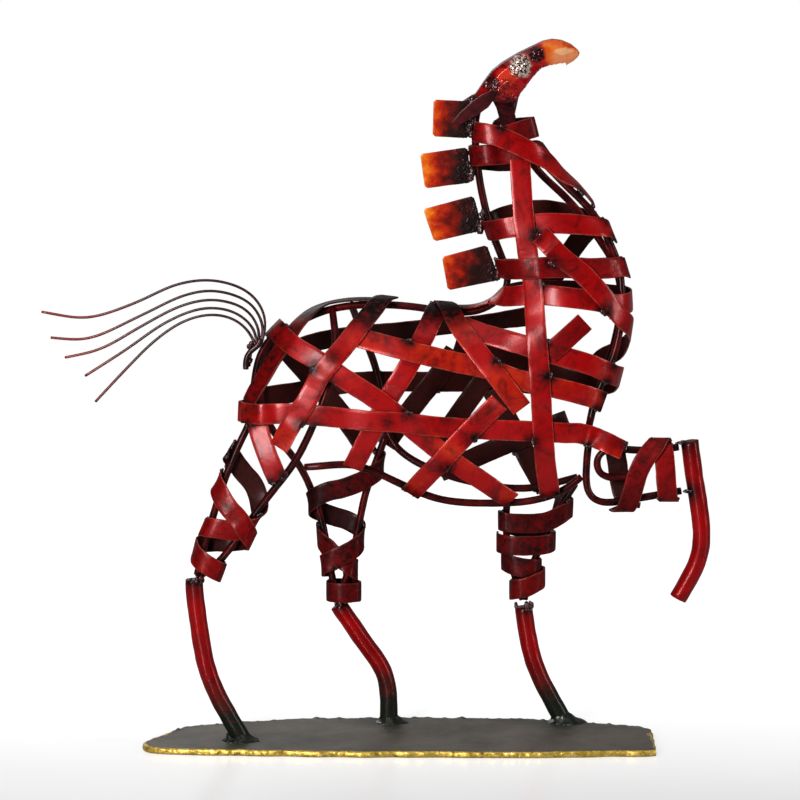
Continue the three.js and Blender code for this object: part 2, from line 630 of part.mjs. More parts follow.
function ribbon({ line, closed, width }) {
    const middle = line.map(({ place, out, lift }) => place.clone().addScaledVector(out, lift));
    const n = middle.length;
    const kept = [0];
    if (closed) {
        const half = Math.floor(n / 2);
        keepNeeded(middle, 0, half, kept);
        kept.push(half);
        keepNeeded([...middle, middle[0]], half, n, kept);
    } else {
        keepNeeded(middle, 0, n - 1, kept);
        kept.push(n - 1);
    }
    const rings = kept.map((i) => {
        const [before, after] = neighbours(middle, i, closed);
        const along = after.clone().sub(before).normalize();
        const across = along.clone().cross(line[i].out).normalize();
        const out = across.clone().cross(along).normalize();
        return [[-1, -1], [1, -1], [1, 1], [-1, 1]].map(([a, b]) => middle[i].clone()
            .addScaledVector(across, a * width / 2)
            .addScaledVector(out, b * STRAP_THICK / 2));
    });
    return skin(rings, closed);
}

layStraps();
const ribbons = Object.fromEntries(Object.entries(straps).map(([name, piece]) => [name, ribbon(piece)]));

// ---------------------------------------------------------------- leg tubes

// A leg tube is cut flat at its foot, just above the base plate.
function shin(points, standing) {
    const bar = roundBar(points, SHIN_DIAMETER, 10, 9);
    if (!standing) return bar;
    const deep = 40;
    const below = new THREE.BoxGeometry(2 * BASE_LENGTH, BASE_LENGTH, deep);
    below.translate(0, 0, BASE_THICK + GAP - deep / 2);
    return fromSolid(toSolid(bar).subtract(toSolid(below)));
}

const shins = {
    hind_shin_right: shin([
        at(-109.3, -24, 91), at(-108.6, -24, 80), at(-107, -24, 68), at(-103.6, -23.5, 46), at(-99, -23, 32),
        at(-92.5, -22, 19), at(-84.5, -22, 5), at(-80, -22, -3),
    ], true),
    hind_shin_left: shin([
        at(-33, 28, 68), at(-25.5, 28, 57), at(-18.6, 28, 46.5), at(-12, 28, 38), at(-7.6, 28, 30),
        at(-5.8, 28, 20),
        at(-5.8, 28, -3),
    ], true),
    fore_shin_left: shin([
        at(67.5, 28, 67), at(69, 28, 56), at(71.5, 28, 42), at(75, 28, 31.5), at(80, 28, 21), at(90, 28, 3),
        at(93, 28, -3),
    ], true),
    fore_shin_right: shin([
        at(154.2, -25, 165.5), at(156, -25, 152), at(158, -25, 139), at(160.6, -25, 122), at(160.9, -25, 108),
        at(157.5, -25, 97), at(148.5, -25, 81),
    ], false),
};

// ---------------------------------------------------------------- mane

const MANE_CHAMFER = 1.3;
const NECK_RINGS = ['throat_ring', 'upper_neck_ring', 'lower_neck_ring', 'throat_strap'];

// The front edge of a mane plate, as its x at the top and the foot. It stands butt against the
// neck rod, or against the ring that is bent round the rod there.
function buttEdge(zTop, zFoot) {
    const within = (p) => Math.abs(p.y) < PLATE_THICK * 1.5 && p.z < zTop + 1 && p.z > zFoot - 1 && p.x > 30;
    const rodRear = rodCurves[0].filter(within).map((p) => [p.x - ROD_DIAMETER / 2, p.z]);
    const ringRear = NECK_RINGS.flatMap((name) => {
        const place = ribbons[name].attributes.position;
        return Array.from({ length: place.count }, (_, i) => new THREE.Vector3().fromBufferAttribute(place,
            i))
            .filter((p) => within({ x: p.x, y: p.y / 3, z: p.z }))
            .map((p) => [p.x, p.z]);
    });
    const nearest = (z) => rodRear.reduce((best,
        p) => (Math.abs(p[1] - z) < Math.abs(best[1] - z) ? p : best));
    const top = nearest(zTop)[0];
    const foot = nearest(zFoot)[0];
    const line = (z) => foot + (top - foot) * (z - zFoot) / (zTop - zFoot);
    const back = Math.max(...[...rodRear, ...ringRear].map(([x, z]) => line(z) - x)) + GAP;
    return [top - back, foot - back];
}

// A straight-sided plate with small chamfers, from its two rear corners and its front ones' heights.
function manePlate(rearTop, rearFoot, zTop, zFoot) {
    const [xTop, xFoot] = buttEdge(zTop, zFoot);
    const corners = [rearTop, [xTop, zTop], [xFoot, zFoot], rearFoot];
    const outline = corners.flatMap(([x, z], i) => {
        const before = corners[(i + corners.length - 1) % corners.length];
        const after = corners[(i + 1) % corners.length];
        return [before, after].map(([ex, ez]) => {
            const run = Math.hypot(ex - x, ez - z);
            return [x + (ex - x) * MANE_CHAMFER / run, z + (ez - z) * MANE_CHAMFER / run];
        });
    });
    return flatPlate(outline, 0, PLATE_THICK);
}

const manePlates = {
    mane_plate_1: manePlate([18.3, 345], [17.8, 325.4], 344, 324.4),
    mane_plate_2: manePlate([11.2, 316], [13.8, 297.6], 319.6, 300.8),
    mane_plate_3: manePlate([12.8, 286.6], [18.6, 269.2], 293.8, 275.2),
    mane_plate_4: manePlate([22.8, 261], [26, 243], 267.4, 248.6),
};

// ---------------------------------------------------------------- head and ears

// The head is a folded plate: a flat forehead, sides that fall in to the jaw, open below and behind.
// Each station is [top x, top z, jaw x, jaw z, half-width], from the poll to the muzzle.
const HEAD = [
    [40, 347.5, 61.5, 340.5, 5], [45, 354.7, 64.2, 342.4, 7], [49.6, 360.7, 66.8, 345.5, 8.2],
    [55, 365, 70, 350.2, 8.4], [62.8, 369.6, 73.4, 355.6, 8], [70, 373.2, 76.7, 360, 7],
    [76, 376.1, 80.4, 361.3, 6], [81, 377.2, 84.7, 362.1, 5.4], [86, 376.6, 88.7, 363, 5],
    [91, 374.5, 92.3, 365.2, 4.2], [94.6, 371.6, 94.4, 367.2, 2.8], [95.7, 370, 95.3, 368.4, 1.2],
];
const HEAD_WALL = 1.3;
const HOLLOW_STATIONS = 9; // the muzzle beyond them is solid
const HOLLOW_DROP = 5; // how far the hollow is cut past the jaw, to leave it open

// The plate that stands in the collar and carries the head, in the mid-plane. A web runs up from it
// to the forehead, ahead of the neck rod's end.
const THROAT_PLATE = [
    [49, 345.6], [51.6, 340.6], [53, 335.6], [50, 333.4], [49, 331], [61.6, 331], [62, 336], [60.4, 341],
    [60.6, 345.6],
];

// A section of the head: flat on top, fullest at a third of its depth, and drawn in at the jaw.
// The right half of the head's section, as [share of its half width, share of its depth].
const HEAD_PROFILE = [[-0.6, 0], [-0.95, 0.16], [-1, 0.42], [-0.72, 0.78], [-0.4, 0.97]];
const JAW_SHARE = 0.9; // the jaw is what lies below this share of the depth
const HOLLOW_MOUTH = { x: -4, z: -3 }; // the hollow runs on this far behind the head
const HEAD_WEB = [[55.5, 342], [55.5, 375], [61, 375], [61, 342]]; // [x, z]
const JAW_TIP = { radius: 2.8, length: 12, sides: 6, x: 61.2, y: -4.2, z: 342.2 };

function headSection([tx, tz, jx, jz, w], wall, drop) {
    const half = w - wall;
    const deep = Math.hypot(jx - tx, jz - tz);
    const point = (side, down) => {
        const t = (down * deep + wall + (down > JAW_SHARE ? drop : 0)) / deep;
        return at(tx + (jx - tx) * t, side * half, tz + (jz - tz) * t);
    };
    const leftSide = HEAD_PROFILE.map(([side, down]) => [-side, down]).reverse();
    return [...HEAD_PROFILE, ...leftSide].map(([side, down]) => point(side, down));
}

function head() {
    const outer = toSolid(skin(HEAD.map((station) => headSection(station, 0, 0)), false));
    const hollow = HEAD.slice(0, HOLLOW_STATIONS).map((station) => headSection(station, HEAD_WALL,
        HOLLOW_DROP));
    const behind = hollow[0].map((p) => p.clone().add(at(HOLLOW_MOUTH.x, 0, HOLLOW_MOUTH.z)));
    const inner = toSolid(skin([behind, ...hollow], false));
    const web = flatPlate(HEAD_WEB, 0, PLATE_THICK);
    const jawTip = new THREE.ConeGeometry(JAW_TIP.radius, JAW_TIP.length, JAW_TIP.sides);
    jawTip.rotateX(-Math.PI / 2);
    jawTip.translate(JAW_TIP.x, JAW_TIP.y, JAW_TIP.z);
    return fromSolid(outer.subtract(inner)
        .add(outer.intersect(toSolid(web)))
        .add(toSolid(flatPlate(THROAT_PLATE, 0, PLATE_THICK)))
        .add(toSolid(jawTip)));
}

// A leaf-shaped ear plate beside the poll, leaning out from the head towards its tip.
const EAR = [
    [0, 5.6], [-1, 2.3], [-5, -3], [-11.7, -7.8], [-18.8, -11.4], [-22.4, -12.4], [-24.4, -10.8],
    [-20.6, -6.2],
    [-14.4, -0.6], [-9, 3.4], [-3.2, 6],
];
const EAR_LEAN = 0.07; // radians
const EAR_ROOT = { x: 52.2, y: 8.9, z: 344.7 };

function ear(side, droop) {
    const plate = flatPlate(EAR, 0, PLATE_THICK);
    plate.rotateY(droop);
    plate.rotateZ(-side * EAR_LEAN);
    plate.translate(EAR_ROOT.x, side * EAR_ROOT.y, EAR_ROOT.z);
    return plate;
}

// ---------------------------------------------------------------- tail

const TAIL_SIDE = -13.2; // the tail is welded to the outside of the right hind rod
const TAIL_FAN = 0.9; // how far apart the wires' tips stand sideways
const TAIL_WIRES = [ // [x, z] from each tip to the root
    [[-189.7, 233.4], [-166, 230.1], [-141, 237.7], [-117, 248.3], [-97, 250], [-78, 242.5], [-70.6, 228.5],
        [-73.4, 216]],
    [[-185, 219.5], [-166, 218.7], [-137, 231.3], [-113, 242.5], [-97, 244.5], [-78, 237.2], [-72, 224],
        [-74, 216]],
    [[-177.6, 208.7], [-159, 213.1], [-136, 226], [-115, 236.7], [-98, 239.7], [-80, 233.7], [-73.8, 221],
        [-74.6, 216]],
    [[-167, 198.7], [-144.7, 213.1], [-123.5, 227.7], [-104, 235.1], [-88, 233.3], [-77.5, 225],
    [-75.5, 216]],
    [[-161.7, 184.7], [-144.7, 202.9], [-128.8, 218.5], [-111.8, 229.2], [-95, 231.5], [-82, 225.5],
        [-76.4, 215.6]],
];

const TAIL_ROOT_DIAMETER = 3.4;
const TAIL_ROOT = [ // [x, how far out, z] down the hooked rod that the wires are welded to
    [-73.6, 0, 218.4], [-75.3, 0, 214.8], [-79.3, 0, 212], [-81.4, 1, 207.8], [-81.4, 3, 203],
];

function tail() {
    const wires = TAIL_WIRES.map((wire, i) => {
        const aside = (k) => TAIL_SIDE + (i - 2) * TAIL_FAN * (1 - k / wire.length);
        return roundBar(wire.map(([x, z], k) => at(x, aside(k), z)), WIRE_DIAMETER, 5, 8);
    });
    const root = roundBar(TAIL_ROOT.map(([x, out, z]) => at(x, TAIL_SIDE - out, z)), TAIL_ROOT_DIAMETER,
        6, 4);
    return join([root, ...wires]);
}

// ---------------------------------------------------------------- base plate

// The plate's edges, as [share of its length, back edge y, front edge y].
const BASE_PROFILE = [
    [0, -28, -34], [0.02, -16, -42], [0.08, 14, -46], [0.19, 27, -49], [0.29, 36.5, -51], [0.42, 39, -53],
    [0.55, 39.5, -53.5], [0.69, 38, -54.5], [0.81, 31.5, -54], [0.9, 23.5, -52], [0.97, 14, -51],
    [1, 7, -49.5],
];

const BASE_STEPS = 34;

// A torch-cut edge wanders a little.
function raggedness(t) {
    return 0.45 * Math.sin(61 * t) + 0.3 * Math.sin(143 * t + 1) + 0.2 * Math.sin(233 * t + 2);
}

function baseEdge(column) {
    const knots = BASE_PROFILE.map((row) => new THREE.Vector2((row[0] - 0.5) * BASE_LENGTH, row[column]));
    return new THREE.SplineCurve(knots).getSpacedPoints(BASE_STEPS)
        .map((p, i) => p.setY(p.y + raggedness(i / BASE_STEPS + column)));
}

function basePlate() {
    const outline = [...baseEdge(1), ...baseEdge(2).reverse()];
    return weldVertices(new THREE.ExtrudeGeometry(new THREE.Shape(outline), {
        depth: BASE_THICK, bevelEnabled: false,
    }));
}

// ---------------------------------------------------------------- the sculpture

const lacquer = { color: 0xa31212, roughness: 0.25, metalness: 0.4 };
const darkLacquer = { color: 0x2a0c0a, roughness: 0.3, metalness: 0.5 };
const orangeLacquer = { color: 0xd9480f, roughness: 0.25, metalness: 0.4 };
const baseFinish = { color: 0x2f3a2c, roughness: 0.6, metalness: 0.5 };

const horse = new THREE.Group();

function add(name, geometry, finish) {
    geometry.computeVertexNormals();
    const mesh = new THREE.Mesh(geometry, new THREE.MeshStandardMaterial({ ...finish, flatShading: true }));
    mesh.name = name;
    horse.add(mesh);
}

add('base_plate', basePlate(), baseFinish);
for (const [name, geometry] of Object.entries(shins)) add(name, geometry, lacquer);
for (const [name, geometry] of Object.entries(rods)) add(name, geometry, darkLacquer);
for (const [name, geometry] of Object.entries(ribbons)) add(name, geometry, lacquer);
for (const [name, geometry] of Object.entries(manePlates)) add(name, geometry, orangeLacquer);
add('head', head(), lacquer);
add('ear_right', ear(R, 0), lacquer);
add('ear_left', ear(L, 0.14), lacquer);
add('tail', tail(), darkLacquer);

export default horse;
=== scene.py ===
"""Finished surfaces of a prancing horse welded from bent rod, woven flat strap and cut plate."""

import json
import math
from collections import namedtuple
from functools import cache, partial
from random import Random

import bmesh
import bpy
from bpy.props import FloatProperty, FloatVectorProperty, PointerProperty
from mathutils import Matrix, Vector, noise
from mathutils.bvhtree import BVHTree
from mathutils.kdtree import KDTree


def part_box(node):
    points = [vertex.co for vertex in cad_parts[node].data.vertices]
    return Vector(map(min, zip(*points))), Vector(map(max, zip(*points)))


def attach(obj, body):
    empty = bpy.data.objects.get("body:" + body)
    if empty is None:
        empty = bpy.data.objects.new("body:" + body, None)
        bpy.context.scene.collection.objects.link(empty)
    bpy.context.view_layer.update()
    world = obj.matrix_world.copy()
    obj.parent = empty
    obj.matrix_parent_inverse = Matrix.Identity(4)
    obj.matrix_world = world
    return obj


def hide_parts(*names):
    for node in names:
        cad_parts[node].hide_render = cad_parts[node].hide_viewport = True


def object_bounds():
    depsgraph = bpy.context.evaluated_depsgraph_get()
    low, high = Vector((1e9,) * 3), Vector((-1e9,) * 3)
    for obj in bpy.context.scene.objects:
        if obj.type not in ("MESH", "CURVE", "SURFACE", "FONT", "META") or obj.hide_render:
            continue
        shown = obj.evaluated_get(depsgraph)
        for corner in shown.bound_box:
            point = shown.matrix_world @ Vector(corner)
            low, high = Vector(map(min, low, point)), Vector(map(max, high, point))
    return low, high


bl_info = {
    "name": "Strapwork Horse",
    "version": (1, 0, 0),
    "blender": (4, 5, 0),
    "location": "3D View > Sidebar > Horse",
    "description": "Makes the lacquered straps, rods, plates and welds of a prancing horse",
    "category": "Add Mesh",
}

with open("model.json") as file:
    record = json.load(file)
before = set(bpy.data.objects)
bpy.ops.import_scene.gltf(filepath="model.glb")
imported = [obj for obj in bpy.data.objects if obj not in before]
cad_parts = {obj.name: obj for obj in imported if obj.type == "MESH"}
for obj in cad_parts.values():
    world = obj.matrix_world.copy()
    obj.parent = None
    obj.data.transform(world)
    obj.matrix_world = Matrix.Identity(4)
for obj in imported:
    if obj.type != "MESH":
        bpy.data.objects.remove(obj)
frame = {"nodes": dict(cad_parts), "record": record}

MM = 0.001
CAD_BOX = [list(corner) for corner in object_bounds()]
SLOTS = {part["node"]: part["material_slot"] for part in frame["record"]["subparts"]}

# ------------------------------------------------------------------ what the horse is made of

STRAP_WIDTH = 11 * MM
WRAP_WIDTH = 10.6 * MM
STRAP_THICK = 1 * MM
ROD_RADIUS = 2 * MM
SHIN_RADIUS = 4.8 * MM
WIRE_RADIUS = 0.75 * MM
BAR_SIDES = {"rod": 6, "shin": 10, "wire": 5}  # how many flat sides each CAD bar has

# Each strap's lacquer, as (how far its red runs to orange, how black it is all over, partly painted shade).
TRUNK_STRAPS = {
    "inner_flank_strap": (0.2, 0), "rump_edge_strap": (0, 0.6), "chest_strap": (0.2, 0),
    "hip_strap": (0.2, 0.25), "withers_strap": (0.25, 0), "upper_flank_strap_left": (0.1, 0.45),
    "belly_strap_left": (0.2, 0), "front_flank_strap_left": (0.1, 0), "foreleg_strap_left": (0.1, 0),
    "long_rump_diagonal_left": (0.1, 0), "flank_diagonal_right": (0.35, 0), "mid_flank_strap": (0.6, 0),
    "shoulder_brace": (0.1, 0.5), "mid_flank_strap_left": (0.1, 0), "back_to_girth_strap": (0.45, 0),
    "girth_strap": (0.3, 0), "rump_diagonal_right": (0.45, 0), "belly_diagonal_right": (0.35, 0),
    "shoulder_strap": (0.3, 0.16),
}
NECK_STRAPS = {
    "upper_neck_ring": (0.3, 0.2), "throat_ring": (0.1, 0.6), "poll_collar": (0.05, 0.6),
    "neck_diagonal_left": (0.1, 0.3), "lower_neck_ring": (0.15, 0.5), "throat_strap": (0.2, 0),
    "neck_diagonal_right": (0.35, 0.22),
}
LEG_WRAPS = {
    "hind_wrap_right": (0.2, 0.46), "hind_cross_strap_right": (0.2, 0.5), "hind_wrap_left": (0.05, 0.7),
    "hind_cross_strap_left": (0, 0.66), "hock_ring_left": (0, 0.6), "fore_wrap_left": (0.15, 0.68),
    "knee_strap_left": (0.05, 0.66), "knee_collar_left": (0.05, 0.5),
    "foreleg_strap_rear_right": (0.05, 0.64), "foreleg_strap_middle_right": (0.1, 0.6),
    "foreleg_strap_front_right": (0.15, 0.45),
}
RODS = [
    "spine_and_neck_rod", "throat_rod_right", "throat_rod_left", "belly_rod_right", "belly_rod_left",
    "hind_rods_right", "hind_rods_left", "fore_rods_left", "foreleg_rod_right", "foreleg_top_rod_right",
]
SHINS = ["hind_shin_right", "hind_shin_left", "fore_shin_left", "fore_shin_right"]
STANDING_SHINS = SHINS[:3]
# How far each mane plate was heated through: the share of its heat colours left off its rear edge.
MANE_PLATES = {"mane_plate_1": 0.2, "mane_plate_2": 0, "mane_plate_3": 0.05, "mane_plate_4": 0.18}
EARS = ["ear_right", "ear_left"]

# Oval places on both cheeks, as (x, z, half width, half height) in millimetres.
BRAZE = (64, 363.5, 5.6, 6.4)
FRONT_CRUST = (73, 369.5, 4.6, 4.2)
FRONT_SCALE = (73, 369.5, 4.4, 4)
REAR_CRUST = (49, 354, 5, 5)
REAR_SCALE = (48.5, 354, 3.8, 4)
LOWER_CRUST = (57, 350, 8, 7)
ORANGE_PATCH = (57, 358, 6, 5)
# The muzzle's glow is a painted highlight.
MUZZLE_GLOW = (87, 371, 5, 2.2)
HEAD_GRAIN = 0.26 * MM

# Where the head changes colour, each from where it starts to where it is full.
FOREHEAD_BEHIND = (80 * MM, 72 * MM)
# The head is blackened below this as painted shade.
NECK_PLATE_BELOW = (30 * MM, 34 * MM)  # measured down from the top of the head
MUZZLE_AHEAD = (73 * MM, 79 * MM)  # at the muzzle's level, and further forward below it
MUZZLE_LEVEL = 375 * MM
LIP_AHEAD = (78 * MM, 84 * MM)

# The shins' colours: the base's paint over their feet, from where it starts to where it is full, and the
# length over which they blacken up to their tops.
FOOT_PAINT_BELOW = (46 * MM, 9 * MM)
TOP_SCALE = 16 * MM

# Lumps of the worked metal, as the distance from one to the next.
HAND_WAVE = 14 * MM
SHEAR_WAVE = 5 * MM
SHEAR_NICK = 1.6 * MM
HAMMER_DENT = 4.5 * MM
ROLLED_WAVE = 6 * MM

# A cut end is rounded over two short steps, as (millimetres in from the end, millimetres off each edge,
# share of the thickness).
CUT_END = [(0, 0.25, 0.5), (0.1, 0.09, 0.83), (0.32, 0, 1)]

# Where the back, the rump and the crest are blackened as painted shade, each from where it starts to where
# it is full.
BACK_ABOVE = (219 * MM, 235 * MM)
BACK_BEHIND = (48 * MM, 28 * MM)
RUMP_ABOVE = (186 * MM, 212 * MM)
RUMP_BEHIND = (-50 * MM, -74 * MM)
CREST_ABOVE = (242 * MM, 262 * MM)
CREST_BEHIND = (10 * MM, -4 * MM)  # measured from a line that leans with the neck

# Where weld beads go.
CROSSING_REACH = 2.7 * MM  # how far apart two straps' middles may be where they cross
ROD_REACH = 1.6 * MM  # how far a strap's edge may be from a rod
END_REACH = 4 * MM  # how far a strap's end may be from a rod
BEAD_SPACING = 9 * MM
END_BEADS = (-0.32, 0.3)  # across a strap's end, as shares of its width from its middle
METAL_REACH = 0.9 * MM  # a bead is left out if there is no metal this near
WELD_PARTS = [("leg_welds", 0, 130 * MM), ("trunk_welds", 130 * MM, 242 * MM),
              ("neck_welds", 242 * MM, 400 * MM)]
DROPS_A_BEAD = 5
BIG_BEAD = 1.3 * MM  # a bead above this radius is drawn with finer facets

# Beads on both sides of each mane plate's weld, as (share of its height, size), under the head, as
# (share of its length from the rear, millimetres up), and round the tail's root.
MANE_BEADS = ((0.1, 1.1), (0.36, 1.5), (0.62, 1.0), (0.92, 1.25))
HEAD_BEADS = ((0.06, -0.2), (0.2, 1.2), (0.32, -0.6), (0.43, 0.4))
TAIL_ROOT_X = -79 * MM
TAIL_ROOT_Z = 211 * MM
TAIL_BEADS = 6

# The base plate.
RIM_STEP = 0.8 * MM
LONG_RUN = 12 * MM  # the outline is straight where its corners are further apart than this
# Rings from the middle of the underside out and up the rim, as (millimetres in from the rim, millimetres
# above the ground, how rough, rim mark), then over the edge and in across the top, the same way but with
# millimetres above the top.
RIM_SIDE = [(30, 0, 0, 0), (3, 0, 0, 0), (0.7, 0, 0.1, 0.3), (0.15, 0.35, 0.8, 1), (0, 1.0, 1, 1),
            (0, 1.6, 1, 1), (0.05, 2.2, 1, 1), (0.2, 2.8, 1, 1)]
RIM_TOP = [(0.6, 0.08, 0.9, 0.95), (1.1, 0.12, 0.7, 0.75), (1.8, 0.05, 0.4, 0.45), (2.8, 0, 0.15, 0.15),
           (4.5, 0, 0.06, 0), *((inset, 0, 0.05, 0) for inset in (7, 11, 16, 22, 29, 36))]
HOOF_SOOT = 14 * MM
WELD_STEPS = 72
# A hoof weld from the plate up to the tube, as (share of the way in, share of the height).
WELD_PROFILE = [(0, -0.12), (0.05, 0.05), (0.25, 0.16), (0.5, 0.34), (0.72, 0.58), (0.9, 0.85), (1, 1.02),
                (1.12, 1.05)]

# Soft lights, as (name, azimuth, elevation, distance, width, height, watts).
LIGHTS = [
    ("key", -22, 14, 1.6, 0.34, 0.8, 22),
    ("top", -10, 72, 2.0, 2.2, 2.2, 10),
    ("front_edge", 72, 14, 1.5, 0.25, 0.9, 7),
    ("rear_edge", 200, 28, 1.6, 0.9, 0.9, 5),
]
CAMERA_DISTANCE = 3.0
CAMERA_ELEVATION = 8
CAMERA_LENS = 252.5
CAMERA_TARGET = (0.5 * MM, 0, 184 * MM)
FLOOR_RADIUS = 0.85

# Weld beads that show most, as the strap above, the strap below, and the corner of their crossing,
# as how far it lies forward and up.
MAIN_WELDS = [
    ("rump_diagonal_right", "flank_diagonal_right", (-1, 0.3)),
    ("rump_diagonal_right", "girth_strap", (1, -1)),
    ("back_to_girth_strap", "mid_flank_strap", (1, 1)),
    ("belly_diagonal_right", "girth_strap", (0, -1)),
    ("shoulder_strap", "upper_neck_ring", (1, -0.5)),
    ("shoulder_strap", "girth_strap", (-1, -1)),
    ("neck_diagonal_right", "withers_strap", (-1, -1)),
    ("neck_diagonal_right", "lower_neck_ring", (-1, 0.4)),
    ("shoulder_strap", "mid_flank_strap", (1, 0.5)),
    ("girth_strap", "flank_diagonal_right", (1, 1)),
]


# ------------------------------------------------------------------ settings

def linear(code):
    """An sRGB hex colour as linear red, green and blue."""
    values = [int(code[i:i + 2], 16) / 255 for i in (1, 3, 5)]
    return [v / 12.92 if v <= 0.04045 else ((v + 0.055) / 1.055) ** 2.4 for v in values]


def rgba(code):
    """An sRGB hex colour as a linear colour for a shader's socket."""
    return (*linear(code), 1)


def colour(name, code, description):
    """A colour setting, from its sRGB hex value."""
    return FloatVectorProperty(
        name=name, description=description, subtype="COLOR", size=3, min=0, max=1, default=linear(code))


def length(name, default, description):
    """A length setting, in metres."""
    return FloatProperty(
        name=name, description=description, default=default, min=0, unit="LENGTH", precision=5)


def share(name, default, description):
    """A setting from 0 to 1."""
    return FloatProperty(
        name=name, description=description, default=default, min=0, max=1, subtype="FACTOR")


class HorseMetal(bpy.types.PropertyGroup):
    """Sizes of the worked metal."""

    facet: length("Facet length", 1.1 * MM, "Spacing of the sections along a strap")
    edge_radius: length("Edge radius", 0.33 * MM, "Rounding along a strap's edges")
    crown: length("Crown", 0.06 * MM, "How far a strap's faces swell in the middle")
    waviness: length("Waviness", 0.14 * MM, "How far a strap wanders in and out from hand bending")
    edge_wander: length("Edge wander", 0.13 * MM, "How uneven the sheared edges are")
    bead_radius: length("Bead radius", 1.35 * MM, "Half the width of an ordinary weld bead")
    soot_reach: length("Soot reach", 4.8 * MM, "How far a weld blackens the lacquer round it")
    plate_grain: length("Plate grain", 0.36 * MM, "Spacing of the points on the plates and the head")


class HorseFinish(bpy.types.PropertyGroup):
    """Colours and gloss of the finishes."""

    red: colour("Red", "#A40407", "Lacquer over bright steel")
    deep_red: colour("Deep red", "#5E0407", "Lacquer where it lies thick")
    orange: colour("Orange", "#C02607", "Lacquer over steel that was heated")
    # Brown is the painted shade on the inner faces of the straps.
    inner_shade_brown: colour("Brown", "#431410", "Thin overspray on the inner faces")
    # Black is also the painted shade over the back, the crest and the far-side straps.
    black: colour("Black", "#0A0304", "Scale and soot under the lacquer")
    # Worn edge is the colour of the painted highlight along the straps' edges.
    edge_highlight: colour("Worn edge", "#E2836A", "Edges where the lacquer has run thin over bright steel")
    brass: colour("Brass", "#DDBB58", "Brazing run round the base plate")
    plate_green: colour("Plate green", "#565047", "Satin paint on the base plate")
    gloss: share("Gloss roughness", 0.2, "Roughness of the clear top coat")


# ------------------------------------------------------------------ reading the CAD frame

def cad_mesh(node):
    """A CAD node's mesh with its shared points joined, as a bmesh."""
    mesh = bmesh.new()
    mesh.from_mesh(frame["nodes"][node].data)
    bmesh.ops.remove_doubles(mesh, verts=mesh.verts, dist=0.02 * MM)
    return mesh


def cad_points(node):
    """The places of a CAD node's points."""
    mesh = cad_mesh(node)
    places = [corner.co.copy() for corner in mesh.verts]
    mesh.free()
    return places


def mean(points):
    """The middle of some points."""
    return sum(points, Vector()) / len(points)


def point_tree(points):
    """A search tree over points, which gives their numbers in the list."""
    tree = KDTree(len(points))
    for i, point in enumerate(points):
        tree.insert(point, i)
    tree.balance()
    return tree


@cache
def surface(names):
    """A search tree over the CAD surfaces of several nodes."""
    points = []
    faces = []
    for node in names:
        mesh = cad_mesh(node)
        first = len(points)
        points += [corner.co.copy() for corner in mesh.verts]
        mesh.verts.index_update()
        faces += [[first + corner.index for corner in face.verts] for face in mesh.faces]
        mesh.free()
    return BVHTree.FromPolygons(points, faces)


Ring = namedtuple("Ring", "middle across outward")
Band = namedtuple("Band", "node rings closed width")


def strap_width(node):
    """Leg wraps are cut a little narrower than the other straps."""
    return WRAP_WIDTH if node in LEG_WRAPS else STRAP_WIDTH


def corner_groups(mesh, width):
    """Sorts a strap's points into its four-cornered sections, as [corner, its twin through the
    thickness, the corner across, its twin]."""
    slack = 0.005 * MM
    twin = {}
    for edge in mesh.edges:
        if abs(edge.calc_length() - STRAP_THICK) < slack:
            one, other = edge.verts
            twin[one] = other
            twin[other] = one
    groups = []
    seen = set()
    for corner in mesh.verts:
        if corner in seen:
            continue
        through = twin[corner].co - corner.co
        mates = []
        for edge in corner.link_edges:
            mate = edge.other_vert(corner)
            if mate is twin[corner] or mate not in twin:
                continue
            skew = (twin[mate].co - mate.co - through).length
            mates.append((abs(edge.calc_length() - width) + skew, mate))
        mate = min(mates, key=lambda found: found[0])[1]
        group = [corner, twin[corner], mate, twin[mate]]
        seen.update(group)
        groups.append(group)
    return groups


def corner_rings(node, width):
    """A CAD strap's sections in order along it, and whether it closes on itself."""
    mesh = cad_mesh(node)
    groups = corner_groups(mesh, width)
    home = {corner: i for i, group in enumerate(groups) for corner in group}
    near = [set() for _ in groups]
    for edge in mesh.edges:
        one, other = (home[corner] for corner in edge.verts)
        if one != other:
            near[one].add(other)
            near[other].add(one)
    ends = [i for i, found in enumerate(near) if len(found) == 1]
    order = [ends[0] if ends else 0]
    while True:
        following = [i for i in near[order[-1]] if i not in order]
        if not following:
            break
        order.append(following[0])
    rings = []
    for i in order:
        corner, through, mate, _ = (point.co.copy() for point in groups[i])
        middle = mean([point.co for point in groups[i]])
        across = (mate - corner).normalized()
        outward = (through - corner).normalized()
        if rings:
            across = across if across.dot(rings[-1].across) > 0 else -across
            outward = outward if outward.dot(rings[-1].outward) > 0 else -outward
        rings.append(Ring(middle, across, outward))
    mesh.free()
    return rings, not ends


def face_outward(node, rings):
    """Turns the sections so that outward points away from the leg or the mid-plane of the body."""
    centre = mean([ring.middle for ring in rings])
    score = 0
    for ring in rings:
        core = centre if node in LEG_WRAPS else Vector((ring.middle.x, 0, ring.middle.z))
        score += ring.outward.dot(ring.middle - core)
    side = 1 if score > 0 else -1
    return [Ring(ring.middle, ring.across, ring.outward * side) for ring in rings]


def glide(before, start, end, after, runs, t):
    """A point on the smooth curve from start to end, for stations spaced by the three runs."""
    back, here, on = runs
    chord = end - start
    leave = (start - before) / back * here if back else chord
    arrive = (after - end) / on * here if on else chord
    leave = (leave * here + chord * back) / (here + back) if back else chord
    arrive = (arrive * here + chord * on) / (here + on) if on else chord
    square = t * t
    cube = square * t
    return (start * (2 * cube - 3 * square + 1) + leave * (cube - 2 * square + t)
            + end * (3 * square - 2 * cube) + arrive * (cube - square))


